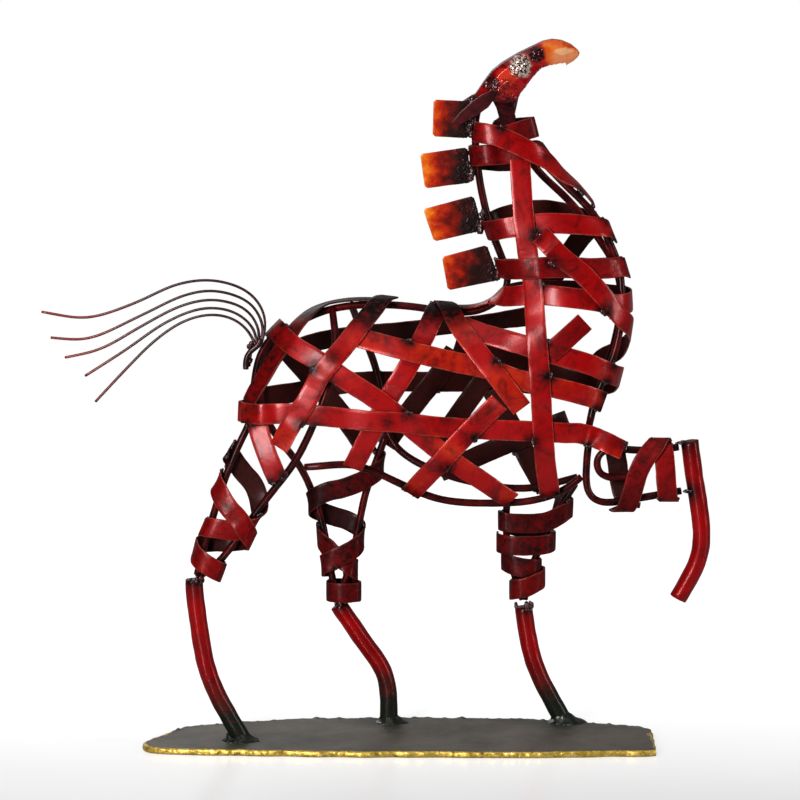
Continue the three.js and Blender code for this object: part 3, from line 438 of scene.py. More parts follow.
@cache
def band(node):
    """A CAD strap sampled finely along a smooth line through its sections."""
    step = bpy.context.scene.horse_metal.facet
    width = strap_width(node)
    rings, closed = corner_rings(node, width)
    rings = face_outward(node, rings)
    count = len(rings)

    def ring(i):
        return rings[i % count] if closed else rings[min(max(i, 0), count - 1)]

    samples = []
    for i in range(count if closed else count - 1):
        four = [ring(i + k) for k in (-1, 0, 1, 2)]
        runs = [(four[k + 1].middle - four[k].middle).length for k in range(3)]
        steps = max(1, round(runs[1] / step))
        for k in range(steps):
            middle, across, outward = (
                glide(*[station[j] for station in four], runs, k / steps) for j in range(3))
            across.normalize()
            outward = (outward - across * outward.dot(across)).normalized()
            samples.append(Ring(middle, across, outward))
    if not closed:
        samples.append(rings[-1])
    return Band(node, samples, closed, width)


def every_band():
    """All the straps and wraps."""
    return [band(node) for node in (*TRUNK_STRAPS, *NECK_STRAPS, *LEG_WRAPS)]


def tangent(strap, i):
    """The direction along a strap at one of its sections."""
    rings = strap.rings
    count = len(rings)
    after = rings[(i + 1) % count] if strap.closed else rings[min(i + 1, count - 1)]
    before = rings[i - 1] if strap.closed else rings[max(i - 1, 0)]
    return (after.middle - before.middle).normalized()


# ------------------------------------------------------------------ where the welds are

Spot = namedtuple("Spot", "point normal along radius")


def crossings():
    """Where two straps cross: the upper strap and its section there, and the lower one and its own."""
    places = [(strap, i) for strap in every_band() for i in range(len(strap.rings))]
    tree = point_tree([strap.rings[i].middle for strap, i in places])
    found = []
    for strap, i in places:
        for _, k, distance in tree.find_range(strap.rings[i].middle, CROSSING_REACH):
            other, j = places[k]
            if other.node > strap.node:
                found.append((distance, strap, i, other, j))
    found.sort(key=lambda hit: (hit[0], hit[1].node, hit[2], hit[4]))
    kept = []
    for _, strap, i, other, j in found:
        point = strap.rings[i].middle
        if all(strap is not a or other is not b or (point - spot).length > strap.width
               for a, b, spot, _, _ in kept):
            kept.append((strap, other, point, i, j))
    result = []
    for strap, other, point, i, j in kept:
        rise = strap.rings[i].outward.dot(point - other.rings[j].middle)
        result.append((strap, i, other, j) if rise > 0 else (other, j, strap, i))
    return result


def crossing_corner(upper, i, lower, j, forward, up):
    """The corner between two crossing straps that lies furthest forward and up."""
    over = upper.rings[i]
    under = lower.rings[j]
    run = tangent(upper, i)
    slope = run.dot(under.across)
    corners = []
    for side in (-1, 1):
        for end in (-1, 1):
            reach = (end * lower.width - side * upper.width * over.across.dot(under.across)) / 2
            reach = max(-lower.width, min(lower.width, reach / slope if abs(slope) > 0.2 else reach))
            corners.append(over.middle + over.across * side * upper.width / 2 + run * reach)
    best = max(corners, key=lambda p: (p.x - over.middle.x) * forward + (p.z - over.middle.z) * up)
    return best - over.outward * STRAP_THICK * 0.9


def crossing_spots(random):
    """Weld beads at the corners of the crossings."""
    radius = bpy.context.scene.horse_metal.bead_radius
    main = {(over, under): corner for over, under, corner in MAIN_WELDS}
    spots = []
    for upper, i, lower, j in crossings():
        corner = main.get((upper.node, lower.node))
        size = radius * random.uniform(0.9, 1.25)
        forward, up = corner or (random.uniform(-1, 1), random.choice((-1, 1)))
        point = crossing_corner(upper, i, lower, j, forward, up)
        size *= 1 if corner else 0.72
        spots.append(Spot(point, upper.rings[i].outward, tangent(upper, i), size))
    return spots


def rod_spots(random):
    """Weld beads where a strap's edge meets a rod, and at the ends of the straps."""
    rods = surface(tuple(RODS + SHINS))
    radius = bpy.context.scene.horse_metal.bead_radius
    spots = []
    for strap in every_band():
        for side in (-1, 1):
            touches = []
            for i, ring in enumerate(strap.rings):
                edge = ring.middle + ring.across * side * strap.width / 2 - ring.outward * STRAP_THICK / 2
                point, normal, _, distance = rods.find_nearest(edge, ROD_REACH)
                if point is not None:
                    touches.append((distance, i, (edge + point) / 2, normal))
            for _, i, point, normal in sorted(touches, key=lambda touch: touch[:2]):
                if random.random() < 0.5 and all(
                        (point - spot.point).length > BEAD_SPACING for spot in spots):
                    spots.append(Spot(point, normal, tangent(strap, i), radius * random.uniform(0.6, 0.95)))
        if strap.closed:
            continue
        for i in (0, len(strap.rings) - 1):
            ring = strap.rings[i]
            for side in END_BEADS:
                end = ring.middle + ring.across * side * strap.width
                point, normal, _, _ = rods.find_nearest(end, END_REACH)
                if point is not None:
                    spots.append(Spot(end.lerp(point, 0.4), ring.outward, ring.across,
                                      radius * random.uniform(0.75, 1.1)))
    return spots


def joint_spots(random):
    """Weld beads at the mane plates, under the head, at the root of the tail and on top of the shins."""
    radius = bpy.context.scene.horse_metal.bead_radius
    right = Vector((0, -1, 0))
    spots = []
    for node in MANE_PLATES:
        low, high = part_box(node)
        for height, size in MANE_BEADS:
            for side in (-1, 1):
                point = Vector((high.x - 0.4 * MM, side * 0.9 * MM, low.z + (high.z - low.z) * height))
                slack = Vector([random.uniform(-1, 1) * 0.6 * MM for _ in range(3)])
                spots.append(Spot(point + slack, right * -side, Vector((0.2, 0, 1)), radius * size))
    rods = surface(tuple(RODS))
    for node in SHINS:
        heads = sorted(cad_points(node), key=lambda p: rods.find_nearest(p)[3])[:6]
        for point in heads:
            spots.append(Spot(point, (point - mean(heads)).normalized(), Vector((0, 0, 1)),
                              radius * random.uniform(0.8, 1.15)))
    root = Vector((TAIL_ROOT_X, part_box("tail")[0].y + 5 * MM, TAIL_ROOT_Z))
    for _ in range(TAIL_BEADS):
        drop = Vector((random.uniform(-1.5, 3.5), random.uniform(-1.5, 1.5), random.uniform(-5, 6))) * MM
        spots.append(Spot(root + drop, right, Vector((0.4, 0, 1)), radius * random.uniform(0.9, 1.4)))
    low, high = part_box("head")
    for forward, up in HEAD_BEADS:
        for side in (-1, 1):
            point = Vector((low.x + (high.x - low.x) * forward, side * 5.6 * MM, low.z + up * MM))
            spots.append(Spot(point, right * -side, Vector((1, 0, 0.2)), radius * random.uniform(1.0, 1.4)))
    return spots


@cache
def weld_spots():
    """All the weld beads that lie on metal, in a settled order."""
    skin = surface(tuple(frame["nodes"]))
    spots = crossing_spots(Random(3)) + rod_spots(Random(5)) + joint_spots(Random(7))
    return [spot for spot in spots if skin.find_nearest(spot.point, METAL_REACH)[0]]


@cache
def weld_tree():
    """A search tree over the weld beads."""
    return point_tree([spot.point for spot in weld_spots()])


# ------------------------------------------------------------------ marks that the finishes read

def ease(low, high, value):
    """0 below low, 1 above high and a smooth rise between them."""
    t = min(1, max(0, (value - low) / (high - low)))
    return t * t * (3 - 2 * t)


def soot(point):
    """How black the welds near a point have burnt it."""
    metal = bpy.context.scene.horse_metal
    _, i, distance = weld_tree().find(point)
    reach = metal.soot_reach * (0.7 + 0.5 * weld_spots()[i].radius / metal.bead_radius)
    return math.exp(-(distance / reach) ** 2)


def roof_shade(point):
    """Painted shade: the back of the trunk and the crest are blacker than the sides."""
    back = ease(*BACK_ABOVE, point.z) * ease(*BACK_BEHIND, point.x)
    rear = ease(*RUMP_BEHIND, point.x) * ease(*RUMP_ABOVE, point.z)
    leaning = point.x - 60 * MM + (point.z - 240 * MM) * 0.18
    crest = ease(*CREST_BEHIND, leaning) * ease(*CREST_ABOVE, point.z)
    return max(0.95 * back, 0.9 * rear, 0.6 * crest)


def ripple(point, size, seed=0):
    """A smooth random value from -1 to 1 whose lumps are of that size."""
    return noise.noise(point / size + Vector((seed * 7.3, seed * 3.1, seed * 11.7)))


# ------------------------------------------------------------------ making pieces

def new_object(name, data):
    """A new object in the scene with that data."""
    made = bpy.data.objects.new(name, data)
    bpy.context.collection.objects.link(made)
    return made


def make_piece(name, points, faces, finish, nodes=(), marks=None):
    """A finished piece that rides on the frame and stands for its CAD nodes."""
    data = bpy.data.meshes.new(name)
    data.from_pydata(points, [], faces)
    for mark, values in (marks or {}).items():
        data.attributes.new(mark, "FLOAT", "POINT").data.foreach_set("value", values)
    data.validate()
    data.shade_smooth()
    data.materials.append(finish)
    piece = new_object(name, data)
    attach(piece, "root")
    if nodes:
        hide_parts(*nodes)
    return piece


def shaped(mesh, kind, **settings):
    """Points, faces and normals of a bmesh after one modifier."""
    data = bpy.data.meshes.new("shaping")
    mesh.to_mesh(data)
    mesh.free()
    piece = new_object("shaping", data)
    modifier = piece.modifiers.new("shape", kind)
    for key, value in settings.items():
        setattr(modifier, key, value)
    result = piece.evaluated_get(bpy.context.evaluated_depsgraph_get()).to_mesh()
    points = [corner.co.copy() for corner in result.vertices]
    normals = [corner.normal.copy() for corner in result.vertices]
    faces = [tuple(face.vertices) for face in result.polygons]
    bpy.data.objects.remove(piece)
    bpy.data.meshes.remove(data)
    return points, faces, normals


def row_faces(rows, sides, closed=False):
    """Faces between rows of points, each a ring of that many: closed on itself, or capped at both ends."""
    faces = []
    for row in range(rows if closed else rows - 1):
        here = row * sides
        after = (row + 1) % rows * sides
        for k in range(sides):
            turn = (k + 1) % sides
            faces.append((here + k, here + turn, after + turn, after + k))
    if not closed:
        faces += [tuple(reversed(range(sides))), tuple(range((rows - 1) * sides, rows * sides))]
    return faces


def strap_section(width, thick, radius, crown):
    """Points round a strap's section, as (across, out, edge mark, inner mark)."""
    flat = width / 2 - radius
    steps = [-1, -0.66, -0.33, 0, 0.33, 0.66, 1]
    edge_marks = [0.75, 0.04, 0, 0, 0, 0.04, 0.75]
    tilt = radius * math.sqrt(0.5)
    outer = [(s * flat, thick / 2 + crown * (1 - s * s), e, 0) for s, e in zip(steps, edge_marks)]
    rim = [
        (flat + tilt, thick / 2 - radius + tilt, 1, 0), (flat + radius, thick / 2 - radius, 1, 0.2),
        (flat + radius, radius - thick / 2, 0.8, 0.7), (flat + tilt, radius - thick / 2 - tilt, 0.7, 1),
    ]
    inner = [(-across, -out, mark * 0.6, 1) for across, out, mark, _ in outer]
    back_rim = [(-across, -out, mark, 1 - side) for across, out, mark, side in rim]
    return outer + rim + inner + back_rim


def bend_strap(node, warmth, blackness_and_shade, finish):
    """A strap with rounded, slightly uneven edges, in place of its faceted CAD solid."""
    metal = bpy.context.scene.horse_metal
    strap = band(node)
    seed = sum(map(ord, node)) % 97
    section = strap_section(strap.width, STRAP_THICK, metal.edge_radius, metal.crown)
    stations = [(ring, 0, 1) for ring in strap.rings]
    if not strap.closed:
        for at_end in (0, -1):
            ring = strap.rings[at_end]
            run = tangent(strap, len(strap.rings) - 1 if at_end else 0) * (-1 if at_end else 1)
            added = [(Ring(ring.middle + run * ahead * MM, ring.across, ring.outward), pull * MM, squeeze)
                     for ahead, pull, squeeze in CUT_END]
            stations = added + stations[1:] if not at_end else stations[:-1] + added[::-1]
    points = []
    marks = {"dark": [], "edge": [], "inner": [], "warm": []}
    for ring, pull, squeeze in stations:
        wave = ripple(ring.middle, HAND_WAVE, seed) * metal.waviness
        for across, out, edge, inner in section:
            side = 1 if across > 0 else -1
            beside = ring.middle + ring.across * side * 20 * MM
            wander = ripple(beside, SHEAR_WAVE, seed) + 0.4 * ripple(beside, SHEAR_NICK, seed)
            slack = wander * metal.edge_wander - pull * side
            reach = across + slack * min(1, abs(across) / strap.width * 2)
            dent = ripple(ring.middle + ring.across * across, HAMMER_DENT, seed + 5) * 0.045 * MM
            point = ring.middle + ring.across * reach + ring.outward * (out * squeeze + wave + dent)
            points.append(point)
            dark = max(soot(point), roof_shade(point), blackness_and_shade)
            for mark, value in (("dark", dark), ("edge", edge), ("inner", inner), ("warm", warmth)):
                marks[mark].append(value)
    faces = row_faces(len(stations), len(section), strap.closed)
    make_piece(f"{node}.finished", points, faces, finish, [node], marks=marks)


def roll_bar(node, radius, sides, finish, rules=None):
    """A smooth round bar in place of a CAD bar of flat sides."""
    mesh = cad_mesh(node)
    bmesh.ops.join_triangles(
        mesh, faces=mesh.faces, angle_face_threshold=math.radians(30), angle_shape_threshold=math.pi)
    mesh.normal_update()
    shrink = (2 + math.cos(math.tau / sides)) / 3
    for corner in mesh.verts:
        corner.co += corner.normal * radius * (1 / shrink - 1)
    crease = mesh.edges.layers.float.new("crease_edge")
    for edge in mesh.edges:
        if len(edge.link_faces) == 2 and edge.calc_face_angle() > math.radians(75):
            edge[crease] = 0.8
    points, faces, normals = shaped(mesh, "SUBSURF", levels=2, render_levels=2)
    moved = [point + normal * ripple(point, ROLLED_WAVE, 3) * 0.05 * radius
             for point, normal in zip(points, normals)]
    marks = {mark: [rule(point) for point in points] for mark, rule in (rules or {"dark": soot}).items()}
    make_piece(f"{node}.finished", moved, faces, finish, [node], marks=marks)


# ------------------------------------------------------------------ finishes

# A texture is (size in millimetres, detail, roughness, distortion). The lacquer's real grain is about
# 0.3 mm and is drawn at 0.9 mm, so that it shows.
FINE_GRAIN = (0.9, 2, 0.6, 0)


def add(tree, kind, *inputs, output=0, stops=(), **settings):
    """Adds a node and gives one of its outputs. The inputs go to its first sockets in order. A setting with
    a capital is a socket of that name, and another is the node's own. Stops are (position, colour)."""
    made = tree.nodes.new("ShaderNode" + kind)
    sockets = {name: value for name, value in settings.items() if name[0].isupper()}
    for name in settings.keys() - sockets.keys():
        setattr(made, name, settings[name])
    shown = [socket for socket in made.inputs if socket.enabled]
    for socket, value in [*zip(shown, inputs), *((made.inputs[name], sockets[name]) for name in sockets)]:
        if isinstance(value, bpy.types.NodeSocket):
            tree.links.new(value, socket)
        else:
            socket.default_value = value
    if stops:
        elements = made.color_ramp.elements
        elements.remove(elements[1])
        elements[0].position, elements[0].color = stops[0]
        for position, shade in stops[1:]:
            elements.new(position).color = shade
    given = [socket for socket in made.outputs if socket.enabled]
    return (made.outputs[output] if isinstance(output, str) else given[output]) if given else None


def new_finish(name, textures, marks=()):
    """A material and what it is made from: the adder of nodes to its empty tree, its noise textures and
    the marks that it reads off the piece's points."""
    finish = bpy.data.materials.new(name)
    finish.use_nodes = True
    finish.node_tree.nodes.clear()
    node = partial(add, finish.node_tree)
    place = node("TexCoord", output="Object")
    noises = [node("TexNoise", place, Scale=1 / (size * MM), Detail=detail, Roughness=roughness,
                   Distortion=distortion) for size, detail, roughness, distortion in textures]
    return finish, node, noises, [node("Attribute", attribute_name=mark, output="Fac") for mark in marks]


def end_finish(node, dyed, coats, relief, sockets):
    """Ends a finish in one surface shader: a colour, coats over it as (share, colour), and a worked surface
    as (height, depth in metres, strength)."""
    for cover, shade in coats:
        dyed = node("Mix", cover, dyed, shade, data_type="RGBA")
    sockets = {"Base Color": dyed, **sockets}
    normal = None
    for value, depth, strength in relief:
        under = {"Normal": normal} if normal else {}
        normal = node("Bump", Height=value, Distance=depth, Strength=strength, **under)
    if normal:
        sockets = {**sockets, "Normal": normal}
        if "Coat Weight" in sockets:
            sockets = {**sockets, "Coat Normal": normal, "Coat IOR": 1.5}
    node("OutputMaterial", node("BsdfPrincipled", **sockets))


def tone(value):
    """A colour setting as a colour for a socket."""
    return (*value, 1)


@cache
def red_lacquer(name, depth):
    """Dyed lacquer sprayed on hot-rolled strap, under a clear coat. The dye lies over grey steel, so the
    red is deep and uneven, orange where it is thin and black over scale, with a grainy white gloss. Painted
    shade blackens it over the back, the crest and the far side and turns the inner faces brown, and a
    painted highlight runs along its edges."""
    palette = bpy.context.scene.horse_finish
    finish, node, (patches, streaks, grain, islands), (warm, dark, inner, edge) = new_finish(
        name, [(30, 4, 0.5, 0.3), (3.2, 4, 0.6, 0.6), FINE_GRAIN, (11, 5, 0.7, 0.8)],
        ("warm", "dark", "inner", "edge"))
    heat = node("Math", node("Math", warm, 0.42, operation="MULTIPLY"), patches, operation="ADD")
    heat = node("Math", streaks, 0.2, heat, operation="MULTIPLY_ADD")
    dyed = node("ValToRGB", heat, stops=[
        (0.34, tone(palette.deep_red)), (0.62, tone(palette.red)), (0.78, tone(palette.red)),
        (0.98, tone(palette.orange))])
    # Darker islands about a centimetre across, where scale was left on the strap.
    scale = node("MapRange", islands, 0.48, 0.72, 0, 0.8)
    uneven = node("MapRange", streaks, 0.3, 0.7, 0.6, 1.25)
    # The dark mark holds soot round the welds and painted shade over the back, the crest and the darker
    # straps.
    blackness_and_shade = node("Math", dark, uneven, operation="MULTIPLY", use_clamp=True)
    # Depth is the least blackness, which on the far-side straps is painted shade.
    blackness_and_shade = node("MapRange", blackness_and_shade, 0.14, 0.85, depth, 1)
    # The inner faces, turned into the hollow body, are brown and blacker as painted shade.
    inside = node("MapRange", inner, 0.25, 0.75)
    lining = node("Mix", node("MapRange", streaks, 0.3, 0.75, 0, 0.6), tone(palette.inner_shade_brown),
                  rgba("#2A0B08"), data_type="RGBA")
    lining = node("Mix", node("Math", blackness_and_shade, 0.7, operation="MULTIPLY"), lining,
                  tone(palette.black), data_type="RGBA")
    # Painted highlight: a bright line along the edges, broken in places by the streaks.
    painted_edge_highlight = node("Math", node("MapRange", edge, 0.6, 1), node("MapRange", streaks, 0.38, 0.6, 0, 0.6),
                operation="MULTIPLY")
    painted_edge_highlight = node("Math", painted_edge_highlight, node("MapRange", blackness_and_shade, 0.2, 0.95, 1, 0.2), operation="MULTIPLY")
    dull = node("Math", blackness_and_shade, inside, operation="ADD", use_clamp=True)
    end_finish(
        node, dyed,
        [(scale, tone(palette.black)), (blackness_and_shade, tone(palette.black)), (inside, lining),
         (painted_edge_highlight, tone(palette.edge_highlight))],
        [(patches, 0.5 * MM, 0.1), (streaks, 0.2 * MM, 0.2), (grain, 0.1 * MM, 0.36)],
        {"Metallic": node("MapRange", painted_edge_highlight, 0, 0.6, 0.2, 0.7),
         "Roughness": node("MapRange", dull, 0, 1, 0.4, 0.6), "Specular IOR Level": 0.08,
         "Coat Weight": node("MapRange", dull, 0, 0.5, 0.45, 0.12), "Coat Roughness": palette.gloss})
    return finish


@cache
def rod_lacquer():
    """The same lacquer on drawn round bar with its black mill scale left on: almost black, with a red
    cast and long soft highlights."""
    palette = bpy.context.scene.horse_finish
    finish, node, (patches, grain), (dark,) = new_finish(
        "lacquered black-scale rod", [(12, 4, 0.6, 0.3), FINE_GRAIN], ("dark",))
    dyed = node("ValToRGB", patches, stops=[
        (0.3, rgba("#210505")), (0.52, rgba("#46090A")), (0.78, rgba("#700D0C"))])
    end_finish(
        node, dyed,
        [(node("MapRange", dark, 0.2, 0.9), tone(palette.black))],
        [(patches, 0.4 * MM, 0.2), (grain, 0.08 * MM, 0.35)],
        {"Metallic": 0.2, "Roughness": node("MapRange", patches, 0.3, 0.7, 0.3, 0.48),
         "Specular IOR Level": 0.06, "Coat Weight": 0.2, "Coat Roughness": 0.16})
    return finish


@cache
def shin_lacquer():
    """Lacquer on bent tube, wiped thin down to the green-black plate paint at the hoof, so the red fades
    into the base."""
    palette = bpy.context.scene.horse_finish
    finish, node, (patches, streaks, grain), (warm, dark, hoof) = new_finish(
        "lacquered bent tube",
        [(14, 4, 0.55, 0.3), (2.5, 4, 0.6, 0.4), FINE_GRAIN], ("warm", "dark", "foot"))
    dyed = node("ValToRGB", node("Math", warm, 0.3, patches, operation="MULTIPLY_ADD"), stops=[
        (0.36, rgba("#2C0405")), (0.6, rgba("#7C0508")), (0.9, tone(palette.red))])
    foot = node("Math", hoof, node("MapRange", streaks, 0.3, 0.7, -0.2, 0.2), operation="ADD")
    foot = node("MapRange", foot, 0.15, 0.9)
    end_finish(
        node, dyed,
        [(node("MapRange", dark, 0.1, 0.9), tone(palette.black)), (foot, rgba("#181C15"))],
        [(patches, 0.5 * MM, 0.15), (streaks, 0.15 * MM, 0.2), (grain, 0.06 * MM, 0.3)],
        {"Metallic": 0.2, "Roughness": node("MapRange", foot, 0, 1, 0.36, 0.55),
         "Specular IOR Level": 0.08, "Coat Weight": 0.24, "Coat Roughness": 0.16})
    return finish


@cache
def heat_coloured_plate():
    """Cut sheet, torch-heated at the weld and lacquered while bright: straw and orange at the free edge,
    through red, to black scale and spatter at the weld."""
    finish, node, (patches, streaks, grit), (torch, edge) = new_finish(
        "torch-coloured steel sheet",
        [(7, 5, 0.65, 0.5), (1.6, 3, 0.6, 0.5), (0.55, 2, 0.7, 0)], ("torch", "edge"))
    heat = node("Math", torch, node("MapRange", patches, 0.3, 0.7, -0.12, 0.12), operation="ADD")
    heat = node("Math", heat, node("MapRange", streaks, 0.3, 0.7, -0.05, 0.05), operation="ADD")
    dyed = node("ValToRGB", heat, stops=[
        (0.0, rgba("#F58A20")), (0.14, rgba("#E0560C")), (0.36, rgba("#B42408")),
        (0.58, rgba("#6A0E07")), (0.76, rgba("#2A0907")), (0.95, rgba("#0B0505"))])
    specks = node("Math", node("MapRange", grit, 0.56, 0.68), node("MapRange", heat, 0.5, 0.95, 0, 0.5),
                  operation="MULTIPLY")
    end_finish(
        node, dyed,
        [(specks, rgba("#6A3A34")), (node("MapRange", edge, 0.5, 1, 0, 0.7), rgba("#3A0A07"))],
        [(patches, 0.5 * MM, 0.12), (streaks, 0.2 * MM, 0.25), (grit, 0.14 * MM, 0.35)],
        {"Metallic": 0.15, "Roughness": node("MapRange", heat, 0.3, 1, 0.36, 0.6),
         "Specular IOR Level": 0.06, "Coat Weight": 0.26, "Coat Roughness": 0.2})
    return finish


@cache
def head_lacquer():
    """Folded sheet with braze melted over the cheek, then lacquered: plum-black forehead, blood red jaw, a
    cheek of wet-looking pits with painted glints on the raised braze, and a muzzle heated to orange with a
    painted highlight. The downward faces and the lower head are blackened as painted shade."""
    palette = bpy.context.scene.horse_finish
    finish, node, (patches, streaks, pitting), (molten, dark, nose, warm, braze_glints, pale) = new_finish(
        "lacquered folded sheet with molten cheek",
        [(9, 4, 0.6, 0.5), (2, 4, 0.6, 0.5), (1.5, 3, 0.65, 1.2)],
        ("molten", "dark", "muzzle", "warm", "braze", "pale"))
    heat = node("Math", warm, 0.34, patches, operation="MULTIPLY_ADD")
    dyed = node("ValToRGB", heat, stops=[
        (0.34, tone(palette.deep_red)), (0.55, tone(palette.red)), (0.8, tone(palette.orange))])
    # The pits are really down to 0.3 mm across and are drawn at 1.5 mm, so that they show.
    raised = node("MapRange", pitting, 0.44, 0.53, 1, 0)
    pits = node("Math", molten, node("MapRange", pitting, 0.46, 0.56), operation="MULTIPLY")
    # Shade here is scale and the forehead's colour, with painted shade on the lower head and the downward
    # faces.
    shade = node("Math", dark, node("MapRange", streaks, 0.3, 0.7, 0.7, 1.1), operation="MULTIPLY",
                 use_clamp=True)
    # Painted glints: the raised braze is pale and more metallic.
    shine = node("Math", braze_glints, raised, operation="MULTIPLY")
    muzzle = node("Math", nose, node("MapRange", patches, 0.3, 0.7, -0.3, 0.3), operation="ADD")
    orange = node("ValToRGB", patches, stops=[
        (0.3, rgba("#B42A06")), (0.5, rgba("#D8500E")), (0.72, rgba("#EA7A22"))])
    # The pale mark is the muzzle's painted highlight and its paler lip.
    orange = node("Mix", pale, orange, rgba("#F8CE96"), data_type="RGBA")
    end_finish(
        node, dyed,
        [(pits, rgba("#10040A")), (shade, rgba("#1A060C")), (shine, rgba("#E9DCCB")),
         (node("MapRange", muzzle, 0.3, 0.85), orange)],
        [(patches, 0.5 * MM, 0.1), (streaks, 0.1 * MM, 0.12)],
        {"Metallic": node("MapRange", shine, 0, 1, 0.15, 0.6),
         "Roughness": node("MapRange", patches, 0.3, 0.7, 0.28, 0.4), "Specular IOR Level": 0.1,
         "Coat Weight": 0.6, "Coat Roughness": 0.1})
    return finish


@cache
def ear_lacquer():
    """Thin sheet lacquered over blued steel: plum-red and satin, with a painted highlight along its edge.
    """
    palette = bpy.context.scene.horse_finish
    finish, node, (patches, grain), (dark, edge) = new_finish(
        "lacquered blued sheet", [(7, 4, 0.6, 0.4), FINE_GRAIN], ("dark", "edge"))
    dyed = node("ValToRGB", patches, stops=[
        (0.32, rgba("#2E1115")), (0.55, rgba("#4C1216")), (0.8, rgba("#84110F"))])
    end_finish(
        node, dyed,
        # The pale edge colour is a painted highlight.
        [(dark, tone(palette.black)), (node("MapRange", edge, 0.55, 1, 0, 0.8), rgba("#EFA294"))],
        [(patches, 0.5 * MM, 0.2), (grain, 0.08 * MM, 0.3)],
        {"Metallic": 0.15, "Roughness": node("MapRange", patches, 0.3, 0.7, 0.34, 0.48),
         "Specular IOR Level": 0.1, "Coat Weight": 0.35, "Coat Roughness": 0.2})
    return finish


@cache
def tail_wire():
    """Drawn steel wire, browned by the torch and lightly lacquered: dark and thin, redder at the tips."""
    finish, node, (patches,), (tip,) = new_finish(
        "browned drawn wire", [(10, 3, 0.5, 0)], ("tip",))
    dyed = node("ValToRGB", patches, stops=[
        (0.3, rgba("#2A1111")), (0.6, rgba("#3A1615")), (0.85, rgba("#4E1C1A"))])
    end_finish(
        node, dyed,
        [(node("Math", tip, 0.75, operation="MULTIPLY"), rgba("#8A2A1E"))],
        [(patches, 0.3 * MM, 0.1)],
        {"Metallic": 0.5, "Roughness": node("MapRange", patches, 0.3, 0.7, 0.3, 0.42),
         "Coat Weight": 0.25, "Coat Roughness": 0.2})
    return finish


@cache
def base_paint():
    """Flame-cut plate with satin grey-green paint, and brass brazed round its ragged rim: a soft even top
    with faint brush marks, and a bright yellow edge streaked with flux."""
    palette = bpy.context.scene.horse_finish
    finish, node, (patches, brushing, grain, flow), (dark, edge) = new_finish(
        "painted flame-cut plate with brazed rim",
        [(38, 5, 0.6, 0.6), (5, 4, 0.6, 0.5), (0.9, 3, 0.6, 0), (4, 4, 0.65, 1.2)], ("dark", "rim"))
    dyed = node("ValToRGB", node("Math", brushing, 0.4, patches, operation="MULTIPLY_ADD"), stops=[
        (0.45, rgba("#353329")), (0.7, tone(palette.plate_green)), (0.95, rgba("#6A6156"))])
    brass = node("ValToRGB", flow, stops=[
        (0.28, rgba("#5F4A1C")), (0.42, rgba("#B39233")), (0.58, tone(palette.brass)),
        (0.8, rgba("#F6E49A"))])
    ragged = node("Math", edge, node("MapRange", brushing, 0.3, 0.7, -0.3, 0.3), operation="ADD")
    rim = node("MapRange", ragged, 0.44, 0.56)
    end_finish(
        node, dyed,
        [(node("MapRange", dark, 0.1, 1, 0, 0.85), rgba("#141A13")), (rim, brass)],
        [(brushing, 0.25 * MM, 0.2), (flow, 0.2 * MM, 0.25), (grain, 0.1 * MM, 0.3)],
        {"Metallic": node("MapRange", rim, 0, 1, 0.1, 0.55),
         "Roughness": node("MapRange", rim, 0, 1, 0.5, 0.36), "Specular IOR Level": 0.35})
    return finish


@cache
def weld_metal(name, under, middle, bright, coat):
    """Weld metal left as it cooled, under lacquer or paint: small glossy lumps, from black to the colour of
    what lies round them, that catch sharp glints."""
    finish, node, (patches, grit), _ = new_finish(
        name, [(3.5, 4, 0.6, 0.6), (0.6, 3, 0.7, 0)])
    dyed = node("ValToRGB", patches, stops=[
        (0.32, rgba(under)), (0.56, rgba(middle)), (0.78, rgba(bright))])
    end_finish(
        node, dyed, [],
        [(patches, 0.4 * MM, 0.35), (grit, 0.12 * MM, 0.35)],
        {"Metallic": 0.4, "Roughness": node("MapRange", patches, 0.3, 0.7, 0.26, 0.45),
         "Coat Weight": coat, "Coat Roughness": 0.12})
    return finish


# ------------------------------------------------------------------ plates, head and ears

def flow_plate(node, finish, grain, swell, marks):
    """A cut plate or folded sheet, remade in fine even facets with softened edges and a worked surface."""
    mesh = cad_mesh(node)
    points, faces, normals = shaped(mesh, "REMESH", mode="VOXEL", voxel_size=grain, use_smooth_shade=True)
    moved = [point + normal * swell(point, normal) for point, normal in zip(points, normals)]
    table = {name: [rule(point, normal) for point, normal in zip(points, normals)]
             for name, rule in marks.items()}
    make_piece(f"{node}.finished", moved, faces, finish, [node], marks=table)


def along_x(node):
    """A rule that gives 0 at a node's rear edge and 1 at its front edge."""
    low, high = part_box(node)
    return lambda point: (point.x - low.x) / (high.x - low.x)


def rim_mark(point, normal):
    """1 on the cut edges of a flat upright plate, 0 on its faces."""
    return ease(0.55, 0.15, abs(normal.y))


def make_mane_plate(node, start):
    """One mane plate: smooth at its free edge, spattered and scaled towards its weld."""
    place = along_x(node)

    def swell(point, normal):
        heat = ease(0.45, 1, place(point))
        spatter = max(0, ripple(point, 0.9 * MM, 2) - 0.1) * 0.5 * MM
        return ripple(point, 6 * MM, 1) * 0.1 * MM + heat * spatter

    def torch(point, normal):
        wander = 0.2 * ripple(point, 9 * MM, 4) + 0.12 * ripple(point, 3 * MM, 6)
        return start + (1.1 - start) * place(point) + wander

    flow_plate(node, heat_coloured_plate(), bpy.context.scene.horse_metal.plate_grain, swell,
               {"torch": torch, "edge": rim_mark})


